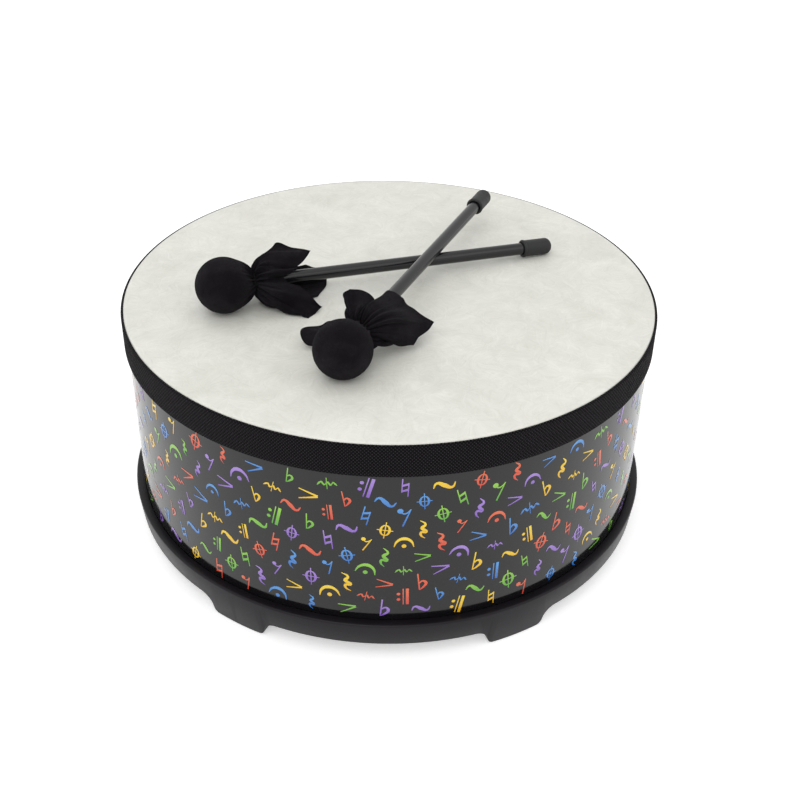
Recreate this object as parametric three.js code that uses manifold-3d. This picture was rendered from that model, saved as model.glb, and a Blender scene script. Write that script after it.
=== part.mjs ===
// Floor drum with two soft mallets that lie crossed on its head.
// Millimetres, +Z up. The origin is the middle of the circle that the foot pads stand on.
import * as THREE from 'three';
import { mergeVertices } from 'three/addons/utils/BufferGeometryUtils.js';
import Module from 'manifold-3d';

const wasm = await Module();
wasm.setup();

// Clearance between two pieces that touch, are bonded or are wound on each other
const seatGap = 0.3;

// Shell, with its bearing edge, and the wrap round it
const headHeight = 188; // floor to the playing surface
const shellRadius = 199.5; // outside of the wood-fibre tube
const shellWall = 6.4;
const bearingRound = 2; // round-over on the outside of the bearing edge
const bearingBevel = 3; // bevel on the inside of the bearing edge
const wrapThickness = 0.8;
const wrapTopDrop = 1.5; // the wrap ends this far below the round-over
const buttGap = 0.6; // between the two ends of a wrap or band
const wrapSeamAzimuth = 90; // degrees, at the back
const bandSeamAzimuth = 105;

// Drumhead and trim band
const filmThickness = 0.4;
const collarDepth = 16;
const bandWidth = 25.4;
const bandThickness = 1.6;
const bandDrop = 0.4; // the band's top edge lies this far below the playing surface
const bandEdge = 0.5; // softened selvedge

// Base ring
const ledgeHeight = 34;
const ledgeWidth = 6.6;
const lipRound = 1.5;
const faceDraft = 6; // degrees by which the outer face leans in towards the floor
const channelDepth = 10; // how deep the shell sits in the ring
const channelFloor = 3;
const upstandWall = 3;
const upstandHeight = 22; // above the channel floor
const outerWall = 3;
const archHeight = 15; // floor to the ring's underside between two feet
const ribThickness = 2.5;
const pocketsPerArch = 4;

// Feet and their pads
const footCount = 6;
const footWidth = 44.8; // on the ground, along the outer face
const footLean = 13.5; // degrees from upright
const footRootFillet = 10;
const footCornerRadius = 4.5;
const footSideWall = 5;
const padProud = 0.8; // the pads stand out of the feet by this much
const padHeight = 7.5;
const padShoulder = 2; // the step inside a foot that the pad bears on

// Screws that hold the ring to the shell
const screwHeight = 12; // above the channel floor
const screwShankRadius = 1.75;
const screwLength = 8; // under the head
const screwPoint = 2;
const screwHeadRadius = 3.5;
const screwHeadHeight = 2.2;
const screwCrownRadius = 2.1; // flat on top of the head
const screwCrownHeight = 1.1; // of the head's rounded part

// Mallets
const ballRadius = 20.8; // over the cloth
const clothThickness = 0.8;
const rodRadius = 4.76;
const rodChamfer = 0.6;
const boreDepth = 28; // from the mouth of the bore in the ball
const malletReach = 271; // ball centre to the tip of the grip cap
const capRadius = 6.5;
const capLength = 26;
const capTip = 3; // rubber beyond the end of the rod
const capDome = 4;
const capRimRadius = 7;
const capRimLength = 2.5;
const capRimEdge = 0.5;
const neckRadius = 6.6; // outside of the gathered cloth under the tie
const neckLength = 6.5;
const threadRadius = 0.6;
const threadTurns = 3;
const threadPitch = 1.7;

// Cloth tails: the four corners of a square of cloth, gathered at the neck
const tuckRadius = 7.4; // how far the cloth between two tails stands off the rod's axis
const tuckLength = 16; // from the end of the neck
const tailHalfAngle = 42; // degrees round the rod from a tail's middle to its foot
const tailFlatness = 0.6; // below 1, a tail is a broad sheet with narrow pleats beside it
const tailBow = 0.85; // below 1, the tails spread as soon as they leave the neck
const clothClearance = 0.5; // between a tail and the head that it lies on

// Where the mallets lie: ball centre in plan, and heading of the rod in degrees
const lowerBallX = -120.3;
const lowerBallY = -41.6;
const lowerBall = { x: lowerBallX, y: lowerBallY, heading: 24 };
const upperBallX = -26.4;
const upperBallY = -124.6;
const upperBall = { x: upperBallX, y: upperBallY, heading: 68.1 };

// Tails of each mallet: angle round the rod (0 to its left, 90 upwards), reach off the axis, length
const tailReach = 40; // of a tail that would be spread full out
const tailLength = 50; // of the longest tail
const lowerTails = [
  { angle: 47, reach: 0.775 * tailReach, length: 0.8 * tailLength },
  { angle: 128, reach: 0.35 * tailReach, length: 0.6 * tailLength },
  { angle: 209, reach: 0.95 * tailReach, length: 0.88 * tailLength },
  { angle: 322, reach: 0.75 * tailReach, length: tailLength },
];
const upperTails = [
  { angle: 62, reach: 0.85 * tailReach, length: 0.68 * tailLength },
  { angle: 140, reach: 0.75 * tailReach, length: 0.92 * tailLength },
  { angle: 200, reach: 0.95 * tailReach, length: 0.72 * tailLength },
  { angle: 340, reach: 0.85 * tailReach, length: 0.4 * tailLength },
];

// Facets
const drumFacets = 84; // a multiple of 12, so that the feet and the four quarters match
const ballFacets = 36;
const ballRings = 8;
const tailRings = 5;
const rodFacets = 20;
const screwFacets = 12;
const threadFacets = 6;
const threadSteps = 18; // for each turn
const padSteps = 2;
const edgeSteps = 3; // in the bearing edge and the film over it
const filletSteps = 5;
const domeSteps = 4;
const fuse = 1e-3; // vertices closer than this are one

// Cutting shapes
const cutterMargin = 2; // how far one passes the faces that it opens
const archCutterReach = 50; // how far one that cuts an arch stands past the ring's walls
const spareDepth = 4; // the ring is revolved this far below the floor, and its feet are cut to length

// Heights and radii that follow from the sizes above
const channelSeat = ledgeHeight - channelDepth;
const shellBottom = channelSeat + seatGap;
const shellTop = headHeight - filmThickness - seatGap;
const shellInner = shellRadius - shellWall;
const wrapInner = shellRadius + seatGap;
const wrapRadius = wrapInner + wrapThickness;
const collarInner = wrapRadius + seatGap;
const collarRadius = collarInner + filmThickness;
const bandInner = collarRadius + seatGap;
const channelOuter = wrapRadius + seatGap;
const channelInner = shellInner - seatGap;
const upstandInner = channelInner - upstandWall;
const lipRadius = channelOuter + ledgeWidth;
const footPitch = 2 * Math.PI / footCount;
const coreRadius = ballRadius - clothThickness - seatGap;
const rodBore = rodRadius + seatGap;

const radians = THREE.MathUtils.degToRad;

// Radius of the ring's outer face at a height
function faceRadius(height) {
  return lipRadius - (ledgeHeight - height) * Math.tan(radians(faceDraft));
}

// The same surface with shared vertices, without empty triangles, facing out
function closedSurface(geometry) {
  const bare = new THREE.BufferGeometry();
  bare.setAttribute('position', geometry.getAttribute('position').clone());
  if (geometry.index) {
    bare.setIndex(geometry.index.clone());
  }
  const merged = mergeVertices(bare, fuse);
  const kept = [];
  for (let i = 0; i < merged.index.count; i += 3) {
    const corners = [0, 1, 2].map((step) => merged.index.getX(i + step));
    if (new Set(corners).size === 3) {
      kept.push(...corners);
    }
  }
  merged.setIndex(enclosedVolume(merged, kept) < 0 ? kept.reverse() : kept);
  return merged;
}

function enclosedVolume(geometry, index) {
  const position = geometry.getAttribute('position');
  const [a, b, c] = [new THREE.Vector3(), new THREE.Vector3(), new THREE.Vector3()];
  let volume = 0;
  for (let i = 0; i < index.length; i += 3) {
    a.fromBufferAttribute(position, index[i]);
    b.fromBufferAttribute(position, index[i + 1]);
    c.fromBufferAttribute(position, index[i + 2]);
    volume += a.dot(b.cross(c)) / 6;
  }
  return volume;
}

function toSolid(geometry) {
  const surface = closedSurface(geometry);
  return new wasm.Manifold(new wasm.Mesh({
    numProp: 3,
    vertProperties: new Float32Array(surface.getAttribute('position').array),
    triVerts: new Uint32Array(surface.index.array),
  }));
}

function toGeometry(solid) {
  const mesh = solid.getMesh();
  const geometry = new THREE.BufferGeometry();
  geometry.setAttribute('position', new THREE.BufferAttribute(new Float32Array(mesh.vertProperties), 3));
  geometry.setIndex(Array.from(mesh.triVerts));
  return geometry;
}

function cut(geometry, cutters) {
  const tools = cutters.map(toSolid).reduce((sum, next) => sum.add(next));
  return toGeometry(toSolid(geometry).subtract(tools));
}

// A solid of revolution about Z from [radius, height] points
function revolve(profile, facets = drumFacets) {
  const points = profile.map(([radius, height]) => new THREE.Vector2(radius, height));
  return closedSurface(new THREE.LatheGeometry(points, facets).rotateX(Math.PI / 2));
}

function revolveClosed(profile, facets = drumFacets) {
  return revolve([...profile, profile[0]], facets);
}

// Points of an elliptical arc, both ends included, angles in degrees
function arc(centreX, centreY, radiusX, radiusY, from, to, steps) {
  return Array.from({ length: steps + 1 }, (_, i) => {
    const angle = radians(from + (to - from) * i / steps);
    return [centreX + radiusX * Math.cos(angle), centreY + radiusY * Math.sin(angle)];
  });
}

// Replaces each [x, y, radius] corner of an outline by a tangent arc
function filletOutline(corners, steps) {
  return corners.flatMap(([x, y, radius], i) => {
    if (!radius) {
      return [new THREE.Vector2(x, y)];
    }
    const corner = new THREE.Vector2(x, y);
    const [backX, backY] = corners.at(i - 1);
    const [nextX, nextY] = corners[(i + 1) % corners.length];
    const back = new THREE.Vector2(backX, backY).sub(corner).normalize();
    const next = new THREE.Vector2(nextX, nextY).sub(corner).normalize();
    const half = Math.acos(back.dot(next)) / 2;
    const middle = back.clone().add(next).normalize();
    const centre = corner.clone().addScaledVector(middle, radius / Math.sin(half));
    const start = corner.clone().addScaledVector(back, radius / Math.tan(half)).sub(centre);
    const turn = (Math.PI - 2 * half) * Math.sign(start.cross(middle.clone().negate()));
    const origin = new THREE.Vector2();
    return Array.from({ length: steps + 1 }, (_, k) => (
      start.clone().rotateAround(origin, turn * k / steps).add(centre)
    ));
  });
}

// A ring segment between two radii, two angles in radians and two heights
function sector(inner, outer, from, to, bottom, top) {
  const shape = new THREE.Shape();
  shape.absarc(0, 0, outer, from, to, false);
  shape.absarc(0, 0, inner, to, from, true);
  const block = new THREE.ExtrudeGeometry(shape, {
    depth: top - bottom,
    bevelEnabled: false,
    curveSegments: padSteps,
  });
  return block.translate(0, 0, bottom);
}

// Lies an outline, x along the face and y up, round the axis at an azimuth, cut radially
function bentPrism(outline, inner, outer, azimuth) {
  const prism = new THREE.ExtrudeGeometry(new THREE.Shape(outline), {
    depth: outer - inner,
    bevelEnabled: false,
  });
  const position = prism.getAttribute('position');
  const reference = faceRadius(archHeight);
  for (let i = 0; i < position.count; i += 1) {
    const angle = azimuth + position.getX(i) / reference;
    const radius = inner + position.getZ(i);
    position.setXYZ(i, radius * Math.cos(angle), radius * Math.sin(angle), position.getY(i));
  }
  return prism;
}

// A narrow cut through one wall of a sleeve, at an azimuth in degrees
function seamCut(inner, outer, azimuth, bottom, top) {
  const size = outer - inner + 2 * cutterMargin;
  const slot = new THREE.BoxGeometry(size, buttGap, top - bottom + 2 * cutterMargin);
  slot.translate((inner + outer) / 2, 0, (bottom + top) / 2);
  return slot.rotateZ(radians(azimuth));
}

// Wood-fibre tube with a rounded and bevelled bearing edge, and pilot holes for the screws
function makeShell() {
  const roundCentre = [shellRadius - bearingRound, shellTop - bearingRound];
  const tube = revolveClosed([
    [shellInner, shellBottom],
    [shellRadius, shellBottom],
    ...arc(...roundCentre, bearingRound, bearingRound, 0, 90, edgeSteps),
    [shellInner + bearingBevel, shellTop],
    [shellInner, shellTop - bearingBevel],
  ]);
  const pilotEnd = screwTipRadius() + seatGap;
  const pilots = screwAzimuths().map((azimuth) => screwHole(shellInner - cutterMargin, pilotEnd, azimuth));
  return cut(tube, pilots);
}

function makeWrap() {
  const top = shellTop - bearingRound - wrapTopDrop;
  const sleeve = revolveClosed([
    [wrapInner, shellBottom],
    [wrapRadius, shellBottom],
    [wrapRadius, top],
    [wrapInner, top],
  ]);
  return cut(sleeve, [seamCut(wrapInner, wrapRadius, wrapSeamAzimuth, shellBottom, top)]);
}

// Film that turns over the bearing edge and runs down the outside as a collar
function makeDrumhead() {
  const centre = [shellRadius - bearingRound, shellTop - bearingRound];
  const turn = [collarInner - centre[0], bearingRound + seatGap];
  const outerTurn = turn.map((radius) => radius + filmThickness);
  const collarBottom = headHeight - collarDepth;
  return revolve([
    [0, headHeight - filmThickness],
    ...arc(...centre, ...turn, 90, 0, edgeSteps),
    [collarInner, collarBottom],
    [collarRadius, collarBottom],
    ...arc(...centre, ...outerTurn, 0, 90, edgeSteps),
    [0, headHeight],
  ]);
}

function makeTrimBand() {
  const outer = bandInner + bandThickness;
  const top = headHeight - bandDrop;
  const bottom = top - bandWidth;
  const band = revolveClosed([
    [bandInner, bottom],
    [outer - bandEdge, bottom],
    [outer, bottom + bandEdge],
    [outer, top - bandEdge],
    [outer - bandEdge, top],
    [bandInner, top],
  ]);
  return cut(band, [seamCut(bandInner, outer, bandSeamAzimuth, bottom, top)]);
}

function footAzimuths() {
  return Array.from({ length: footCount }, (_, i) => i * footPitch);
}

// Half the angle that a foot takes where its root fillets run out into the ring's underside
function footRootHalfAngle() {
  const rise = archHeight - padProud;
  const run = footRootFillet * Math.tan(radians(90 - footLean) / 2);
  return (footWidth / 2 + rise * Math.tan(radians(footLean)) + run) / faceRadius(archHeight);
}

// The space between two feet, with everything under their ground faces
function archCutter(azimuth) {
  const halfPitch = footPitch / 2 * faceRadius(archHeight);
  const sideFoot = halfPitch - footWidth / 2;
  const sideTop = sideFoot - (archHeight - padProud) * Math.tan(radians(footLean));
  const end = halfPitch + cutterMargin;
  const below = -spareDepth - cutterMargin;
  const outline = filletOutline([
    [-end, below],
    [end, below],
    [end, padProud],
    [sideFoot, padProud, footCornerRadius],
    [sideTop, archHeight, footRootFillet],
    [-sideTop, archHeight, footRootFillet],
    [-sideFoot, padProud, footCornerRadius],
    [-end, padProud],
  ], filletSteps);
  return bentPrism(outline, upstandInner - archCutterReach, lipRadius + archCutterReach, azimuth);
}

function padRecess() {
  return {
    inner: channelInner,
    outer: faceRadius(padProud) - outerWall,
    half: (footWidth / 2 - footSideWall) / faceRadius(archHeight),
  };
}

// The pad's recess in a foot, and the two hollows above it on either side of a rib
function footHollows(azimuth) {
  const recess = padRecess();
  const below = -spareDepth - cutterMargin;
  const ceiling = channelSeat - channelFloor;
  const step = padShoulder / recess.outer;
  const rib = ribThickness / 2 / recess.outer;
  const hollows = [[-recess.half + step, -rib], [rib, recess.half - step]].map(([from, to]) => sector(
    recess.inner + padShoulder, recess.outer - padShoulder, azimuth + from, azimuth + to, below, ceiling,
  ));
  const mouth = sector(
    recess.inner, recess.outer, azimuth - recess.half, azimuth + recess.half, below, padHeight + seatGap,
  );
  return [mouth, ...hollows];
}

// Cored pockets in the ring's underside between two feet, with ribs left between them
function archPockets(azimuth) {
  const recess = padRecess();
  const rib = ribThickness / recess.outer;
  const half = footPitch / 2 - footRootHalfAngle() - rib;
  const pitch = (2 * half + rib) / pocketsPerArch;
  return Array.from({ length: pocketsPerArch }, (_, i) => {
    const from = azimuth - half + i * pitch;
    return sector(
      recess.inner, recess.outer, from, from + pitch - rib,
      archHeight - cutterMargin, channelSeat - channelFloor,
    );
  });
}

function makeBaseRing() {
  const upstandTop = channelSeat + upstandHeight;
  const section = revolveClosed([
    [upstandInner, -spareDepth],
    [faceRadius(-spareDepth), -spareDepth],
    [faceRadius(ledgeHeight - lipRound), ledgeHeight - lipRound],
    ...arc(lipRadius - lipRound, ledgeHeight - lipRound, lipRound, lipRound, 45, 90, 1),
    [channelOuter, ledgeHeight],
    [channelOuter, channelSeat],
    [channelInner, channelSeat],
    [channelInner, upstandTop],
    [upstandInner, upstandTop],
  ]);
  return cut(section, [
    ...footAzimuths().map((azimuth) => archCutter(azimuth + footPitch / 2)),
    ...footAzimuths().flatMap(footHollows),
    ...footAzimuths().flatMap((azimuth) => archPockets(azimuth + footPitch / 2)),
    ...screwAzimuths().map((azimuth) => (
      screwHole(upstandInner - cutterMargin, channelInner + cutterMargin, azimuth)
    )),
  ]);
}

function makeFootPad(azimuth) {
  const recess = padRecess();
  const half = recess.half - seatGap / recess.outer;
  return sector(
    recess.inner + seatGap, recess.outer - seatGap, azimuth - half, azimuth + half, 0, padHeight,
  );
}

function screwAzimuths() {
  return footAzimuths().map((azimuth) => azimuth + footPitch / 2);
}

function screwTipRadius() {
  return upstandInner - seatGap + screwLength;
}

// Turns a solid on the Z axis so that it points outwards at an azimuth, at the screws' height
function layRadially(geometry, azimuth) {
  return geometry.rotateY(Math.PI / 2).rotateZ(azimuth).translate(0, 0, channelSeat + screwHeight);
}

function screwHole(from, to, azimuth) {
  const radius = screwShankRadius + seatGap;
  const hole = revolve([[0, from], [radius, from], [radius, to], [0, to]], screwFacets);
  return layRadially(hole, azimuth);
}

function makeScrew(azimuth) {
  const seat = upstandInner - seatGap;
  const tip = screwTipRadius();
  const screw = revolve([
    [0, seat - screwHeadHeight],
    [screwCrownRadius, seat - screwHeadHeight],
    [screwHeadRadius, seat - screwHeadHeight + screwCrownHeight],
    [screwHeadRadius, seat],
    [screwShankRadius, seat],
    [screwShankRadius, tip - screwPoint],
    [0, tip],
  ], screwFacets);
  return layRadially(screw, azimuth);
}

// The mallets are made along +Z, ball centre at the origin, and laid down by their groups

// [radius, height] points of a ball from its tip to where it meets a neck
function ballProfile(radius, neck) {
  const last = 90 - THREE.MathUtils.radToDeg(Math.asin(neck / radius));
  return [[0, -radius], ...arc(0, 0, radius, radius, -90, last, ballRings).slice(1)];
}

function makeBall() {
  const outline = ballProfile(coreRadius, rodBore);
  const mouth = outline.at(-1)[1];
  return revolve([...outline, [rodBore, mouth - boreDepth], [0, mouth - boreDepth]], ballFacets);
}

function rodStart() {
  return ballProfile(coreRadius, rodBore).at(-1)[1] - boreDepth + seatGap;
}

function makeRod() {
  const [start, end] = [rodStart(), malletReach - capTip];
  return revolve([
    [0, start],
    [rodRadius - rodChamfer, start],
    [rodRadius, start + rodChamfer],
    [rodRadius, end - rodChamfer],
    [rodRadius - rodChamfer, end],
    [0, end],
  ], rodFacets);
}

function makeGripCap() {
  const open = malletReach - capLength;
  const boreEnd = malletReach - capTip + seatGap;
  return revolve([
    [0, boreEnd],
    [rodBore, boreEnd],
    [rodBore, open],
    [capRimRadius - capRimEdge, open],
    [capRimRadius, open + capRimEdge],
    [capRimRadius, open + capRimLength - capRimEdge],
    [capRadius, open + capRimLength],
    ...arc(0, malletReach - capDome, capRadius, capDome, 0, 90, domeSteps).slice(0, -1),
    [0, malletReach],
  ], rodFacets);
}

// Thread wound round the neck as one unbroken helix
class Helix extends THREE.Curve {
  constructor(start, rise) {
    super();
    this.start = start;
    this.rise = rise;
  }

  getPoint(t, target = new THREE.Vector3()) {
    const angle = 2 * Math.PI * threadTurns * t;
    const radius = neckRadius + seatGap + threadRadius;
    return target.set(radius * Math.cos(angle), radius * Math.sin(angle), this.start + this.rise * t);
  }
}

function makeTie() {
  const rise = threadTurns * threadPitch;
  const path = new Helix(neckStart() + (neckLength - rise) / 2, rise);
  const section = new THREE.Shape(
    arc(0, 0, threadRadius, threadRadius, 0, 360 - 360 / threadFacets, threadFacets - 1)
      .map(([x, y]) => new THREE.Vector2(x, y)),
  );
  return new THREE.ExtrudeGeometry(section, {
    steps: threadTurns * threadSteps,
    bevelEnabled: false,
    extrudePath: path,
  });
}

function neckStart() {
  return ballProfile(ballRadius, neckRadius).at(-1)[1];
}

// How much a tail counts at an angle round the rod, from 0 beside it to 1 on its middle
function tailShare(tail, angle) {
  const apart = THREE.MathUtils.euclideanModulo(angle - tail.angle + 180, 360) - 180;
  return Math.max(0, 1 - Math.abs(apart) / tailHalfAngle);
}

// Radius and height of the gathered cloth at an angle, from the neck (0) to the hem (1)
function tailPoint(mallet, angle, share) {
  let reach = tuckRadius;
  let length = tuckLength;
  for (const tail of mallet.tails) {
    const part = tailShare(tail, angle);
    const spread = Math.sin(part * Math.PI / 2) ** tailFlatness;
    reach = Math.max(reach, tuckRadius + (tail.reach - tuckRadius) * spread);
    length = Math.max(length, tuckLength + (tail.length - tuckLength) * part);
  }
  const height = neckStart() + neckLength + length * share;
  const radius = neckRadius + (reach - neckRadius) * share ** tailBow;
  const down = -Math.sin(radians(angle)) * Math.cos(mallet.pitch);
  const room = ballRadius + seatGap - height * Math.sin(mallet.pitch) - clothClearance;
  return [down > 0 ? Math.min(radius, room / down) : radius, height];
}

// The cloth's outer face, as rings of [radius, height] for one angle, from the tip to the hem
function clothOutside(mallet, angle) {
  const ball = ballProfile(ballRadius, neckRadius);
  const tails = Array.from({ length: tailRings + 1 }, (_, i) => tailPoint(mallet, angle, i / tailRings));
  return [...ball, ...tails];
}

// The inner face follows the outer one a cloth's thickness away, and stays off the rod
function clothInside(mallet, angle) {
  const small = 1;
  const inner = ballProfile(ballRadius - clothThickness, rodBore);
  const outside = clothOutside(mallet, angle);
  const beside = clothOutside(mallet, angle + small);
  const tails = outside.slice(ballRings + 1).map(([radius, height], i) => {
    const slope = (beside[ballRings + 1 + i][0] - radius) / radians(small) / radius;
    return [Math.max(rodBore, radius - clothThickness * Math.hypot(1, slope)), height];
  });
  return [...inner, ...tails];
}

function makeCloth(mallet) {
  const columns = Array.from({ length: ballFacets }, (_, i) => i * 360 / ballFacets);
  const rings = columns.map((angle) => {
    const sides = [...clothOutside(mallet, angle), ...clothInside(mallet, angle).reverse()];
    return sides.map(([radius, height]) => [
      radius * Math.cos(radians(angle)),
      radius * Math.sin(radians(angle)),
      height,
    ]);
  });
  const count = rings[0].length;
  const index = [];
  rings.forEach((_, i) => {
    const next = (i + 1) % ballFacets;
    for (let k = 0; k < count - 1; k += 1) {
      const [a, b, c, d] = [i * count + k, next * count + k, next * count + k + 1, i * count + k + 1];
      index.push(a, b, c, a, c, d);
    }
  });
  const geometry = new THREE.BufferGeometry();
  geometry.setAttribute('position', new THREE.Float32BufferAttribute(rings.flat(2), 3));
  geometry.setIndex(index);
  return geometry;
}

// The lower mallet leans on its ball and on the end of its grip cap's straight side
const lowerMallet = {
  name: 'lower_mallet',
  tails: lowerTails,
  pitch: Math.asin((ballRadius - capRadius) / (malletReach - capDome)),
  ...lowerBall,
};

// The upper mallet leans on its ball and on the lower rod, where the two rods cross in plan
function crossing() {
  const [a, b] = [lowerBall, upperBall].map(({ heading }) => radians(heading));
  const [dx, dy] = [upperBall.x - lowerBall.x, upperBall.y - lowerBall.y];
  const turn = Math.sin(b - a);
  return {
    alongLower: (dx * Math.sin(b) - dy * Math.cos(b)) / turn,
    alongUpper: (dx * Math.sin(a) - dy * Math.cos(a)) / turn,
  };
}

function upperPitch() {
  const { alongLower, alongUpper } = crossing();
  const drop = alongLower * Math.tan(lowerMallet.pitch);
  const lift = (2 * rodRadius + seatGap) / Math.cos(lowerMallet.pitch);
  return Math.atan((drop - lift) / alongUpper);
}

const upperMallet = { name: 'upper_mallet', tails: upperTails, pitch: upperPitch(), ...upperBall };

function material(color, roughness, metalness = 0) {
  return new THREE.MeshStandardMaterial({ color, roughness, metalness });
}

const woodFibre = material(0xa9825a, 0.8);
const gloss = material(0x121214, 0.15);
const film = material(0xe0e0d6, 0.6);
const webbing = material(0x18181a, 0.9);
const moulding = material(0x1f1f21, 0.5);
const rubber = material(0x141415, 0.8);
const steel = material(0x9a9a9c, 0.35, 1);
const cloth = material(0x0d0d0f, 0.95);
const foam = material(0x8a8378, 0.9);
const thread = material(0x101012, 0.8);

function addPiece(group, name, geometry, finish) {
  const mesh = new THREE.Mesh(closedSurface(geometry), finish);
  mesh.name = name;
  group.add(mesh);
}

function addMallet(parent, mallet) {
  const group = new THREE.Group();
  group.position.set(mallet.x, mallet.y, headHeight + ballRadius + seatGap);
  // Local +Z runs from the ball to the cap, +X to the left of the rod and +Y upwards
  const heading = radians(mallet.heading);
  const along = new THREE.Vector3(
    Math.cos(heading) * Math.cos(mallet.pitch),
    Math.sin(heading) * Math.cos(mallet.pitch),
    -Math.sin(mallet.pitch),
  );
  const left = new THREE.Vector3(-Math.sin(heading), Math.cos(heading), 0);
  group.setRotationFromMatrix(new THREE.Matrix4().makeBasis(left, along.clone().cross(left), along));
  addPiece(group, `${mallet.name}_rod`, makeRod(), gloss);
  addPiece(group, `${mallet.name}_grip_cap`, makeGripCap(), rubber);
  addPiece(group, `${mallet.name}_ball`, makeBall(), foam);
  addPiece(group, `${mallet.name}_cloth`, makeCloth(mallet), cloth);
  addPiece(group, `${mallet.name}_tie`, makeTie(), thread);
  parent.add(group);
}

const drum = new THREE.Group();
addPiece(drum, 'shell', makeShell(), woodFibre);
addPiece(drum, 'shell_wrap', makeWrap(), gloss);
addPiece(drum, 'drumhead', makeDrumhead(), film);
addPiece(drum, 'trim_band', makeTrimBand(), webbing);
addPiece(drum, 'base_ring', makeBaseRing(), moulding);
footAzimuths().forEach((azimuth, i) => {
  addPiece(drum, `foot_pad_${i + 1}`, makeFootPad(azimuth), rubber);
});
screwAzimuths().forEach((azimuth, i) => {
  addPiece(drum, `base_screw_${i + 1}`, makeScrew(azimuth), steel);
});
addMallet(drum, lowerMallet);
addMallet(drum, upperMallet);

console.log(`thread turns lie ${(threadPitch - 2 * threadRadius).toFixed(2)} mm apart`);

export default drum;
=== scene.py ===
# %% [markdown]
# A low floor drum stands on a footed base ring, and two cloth-headed mallets lie crossed on its
# head. The construction model is loaded first, as a fixed frame. Each piece that is modelled here
# takes its place from the boxes of that frame, so nothing is shifted by eye afterwards.

# %% Load the frame
import math

import bmesh
import bpy
from mathutils import Matrix, Vector


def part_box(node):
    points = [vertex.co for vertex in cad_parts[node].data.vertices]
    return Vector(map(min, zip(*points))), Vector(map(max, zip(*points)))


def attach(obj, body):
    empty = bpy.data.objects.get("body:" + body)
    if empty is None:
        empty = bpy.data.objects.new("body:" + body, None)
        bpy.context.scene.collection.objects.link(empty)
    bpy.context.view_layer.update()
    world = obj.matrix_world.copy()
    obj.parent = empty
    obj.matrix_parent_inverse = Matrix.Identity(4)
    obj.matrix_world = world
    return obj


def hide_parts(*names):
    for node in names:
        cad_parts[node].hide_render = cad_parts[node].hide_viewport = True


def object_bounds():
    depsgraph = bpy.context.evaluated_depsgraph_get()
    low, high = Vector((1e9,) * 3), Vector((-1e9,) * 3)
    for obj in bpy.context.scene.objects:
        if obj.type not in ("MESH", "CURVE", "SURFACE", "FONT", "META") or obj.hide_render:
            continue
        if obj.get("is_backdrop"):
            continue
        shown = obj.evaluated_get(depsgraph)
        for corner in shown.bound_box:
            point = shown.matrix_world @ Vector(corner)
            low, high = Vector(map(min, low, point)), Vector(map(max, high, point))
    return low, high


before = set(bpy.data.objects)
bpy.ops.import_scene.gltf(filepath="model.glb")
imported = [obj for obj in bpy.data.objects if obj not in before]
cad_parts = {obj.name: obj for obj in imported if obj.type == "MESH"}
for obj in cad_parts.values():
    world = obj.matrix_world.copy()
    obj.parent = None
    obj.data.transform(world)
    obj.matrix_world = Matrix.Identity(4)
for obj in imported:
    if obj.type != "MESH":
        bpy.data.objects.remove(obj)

cad_low, cad_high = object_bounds()
mm = 0.001
print("frame box in mm:", [round(value / mm, 1) for value in (*cad_low, *cad_high)])

# %% [markdown]
# The drum is a stack of round pieces on one axis, so the outer radius of a piece is the high corner
# of its box. A box gives the radius of a faceted circle a little too small or just right, and the
# pieces modelled here have finer facets, so they keep to the same radii.

# %% Read radii and heights
def outer_radius(node):
    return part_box(node)[1].x


def low_and_high(node):
    low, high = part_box(node)
    return low.z, high.z


collar_bottom, head_top = low_and_high("drumhead")
collar_radius = outer_radius("drumhead")
wrap_bottom, wrap_top = low_and_high("shell_wrap")
wrap_radius = outer_radius("shell_wrap")
band_bottom, band_top = low_and_high("trim_band")
band_radius = outer_radius("trim_band")
lip_radius = outer_radius("base_ring")
print("head", round(head_top / mm, 1), "mm high, band radius", round(band_radius / mm, 2), "mm")

# %% [markdown]
# The camera stands about 80 cm in front of the drum and looks down on it by 34 degrees. The
# distance matters as much as the angle: this close, the base looks clearly narrower than the rim.
# Pitch, heading and roll are easier to say one after the other than as three Euler angles, so the
# turn is a product of three rotations.

# %% Place the camera
camera_place = Vector((31.1, -810.7, 637.2)) * mm
camera_pitch = math.radians(34.3)
camera_heading = math.radians(1.486)
camera_roll = math.radians(1.105)

camera_data = bpy.data.cameras.new("camera")
camera_data.sensor_width = 36
camera_data.lens = 54.06
camera_data.shift_x = -0.0011
camera_data.shift_y = 0.0006
camera = bpy.data.objects.new("camera", camera_data)
bpy.context.scene.collection.objects.link(camera)
camera.matrix_world = (
    Matrix.Translation(camera_place)
    @ Matrix.Rotation(camera_heading, 4, "Z")
    @ Matrix.Rotation(math.pi / 2 - camera_pitch, 4, "X")
    @ Matrix.Rotation(camera_roll, 4, "Z")
)
bpy.context.scene.camera = camera
bpy.context.scene.view_settings.view_transform = "Standard"
print("camera", round(camera_place.length / mm), "mm from the middle of the drum's foot circle")

# %% [markdown]
# Every material below is a small tree of nodes. Adding a node, setting it and wiring it takes
# three lines each time, so one helper does all three: a value that is a socket becomes a link, and
# any other value is typed into the input. The helpers after it name the few kinds of node that are
# used again and again.

# %% Helpers for nodes
def add_node(tree, kind, inputs=None, **settings):
    made = tree.nodes.new(kind)
    for name, value in settings.items():
        setattr(made, name, value)
    for name, value in (inputs or {}).items():
        if isinstance(value, bpy.types.NodeSocket):
            tree.links.new(value, made.inputs[name])
        else:
            made.inputs[name].default_value = value
    return made


def math_node(tree, operation, *values):
    inputs = dict(enumerate(values))
    return add_node(tree, "ShaderNodeMath", inputs, operation=operation).outputs[0]


def times(tree, first, second):
    return math_node(tree, "MULTIPLY", first, second)


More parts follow.
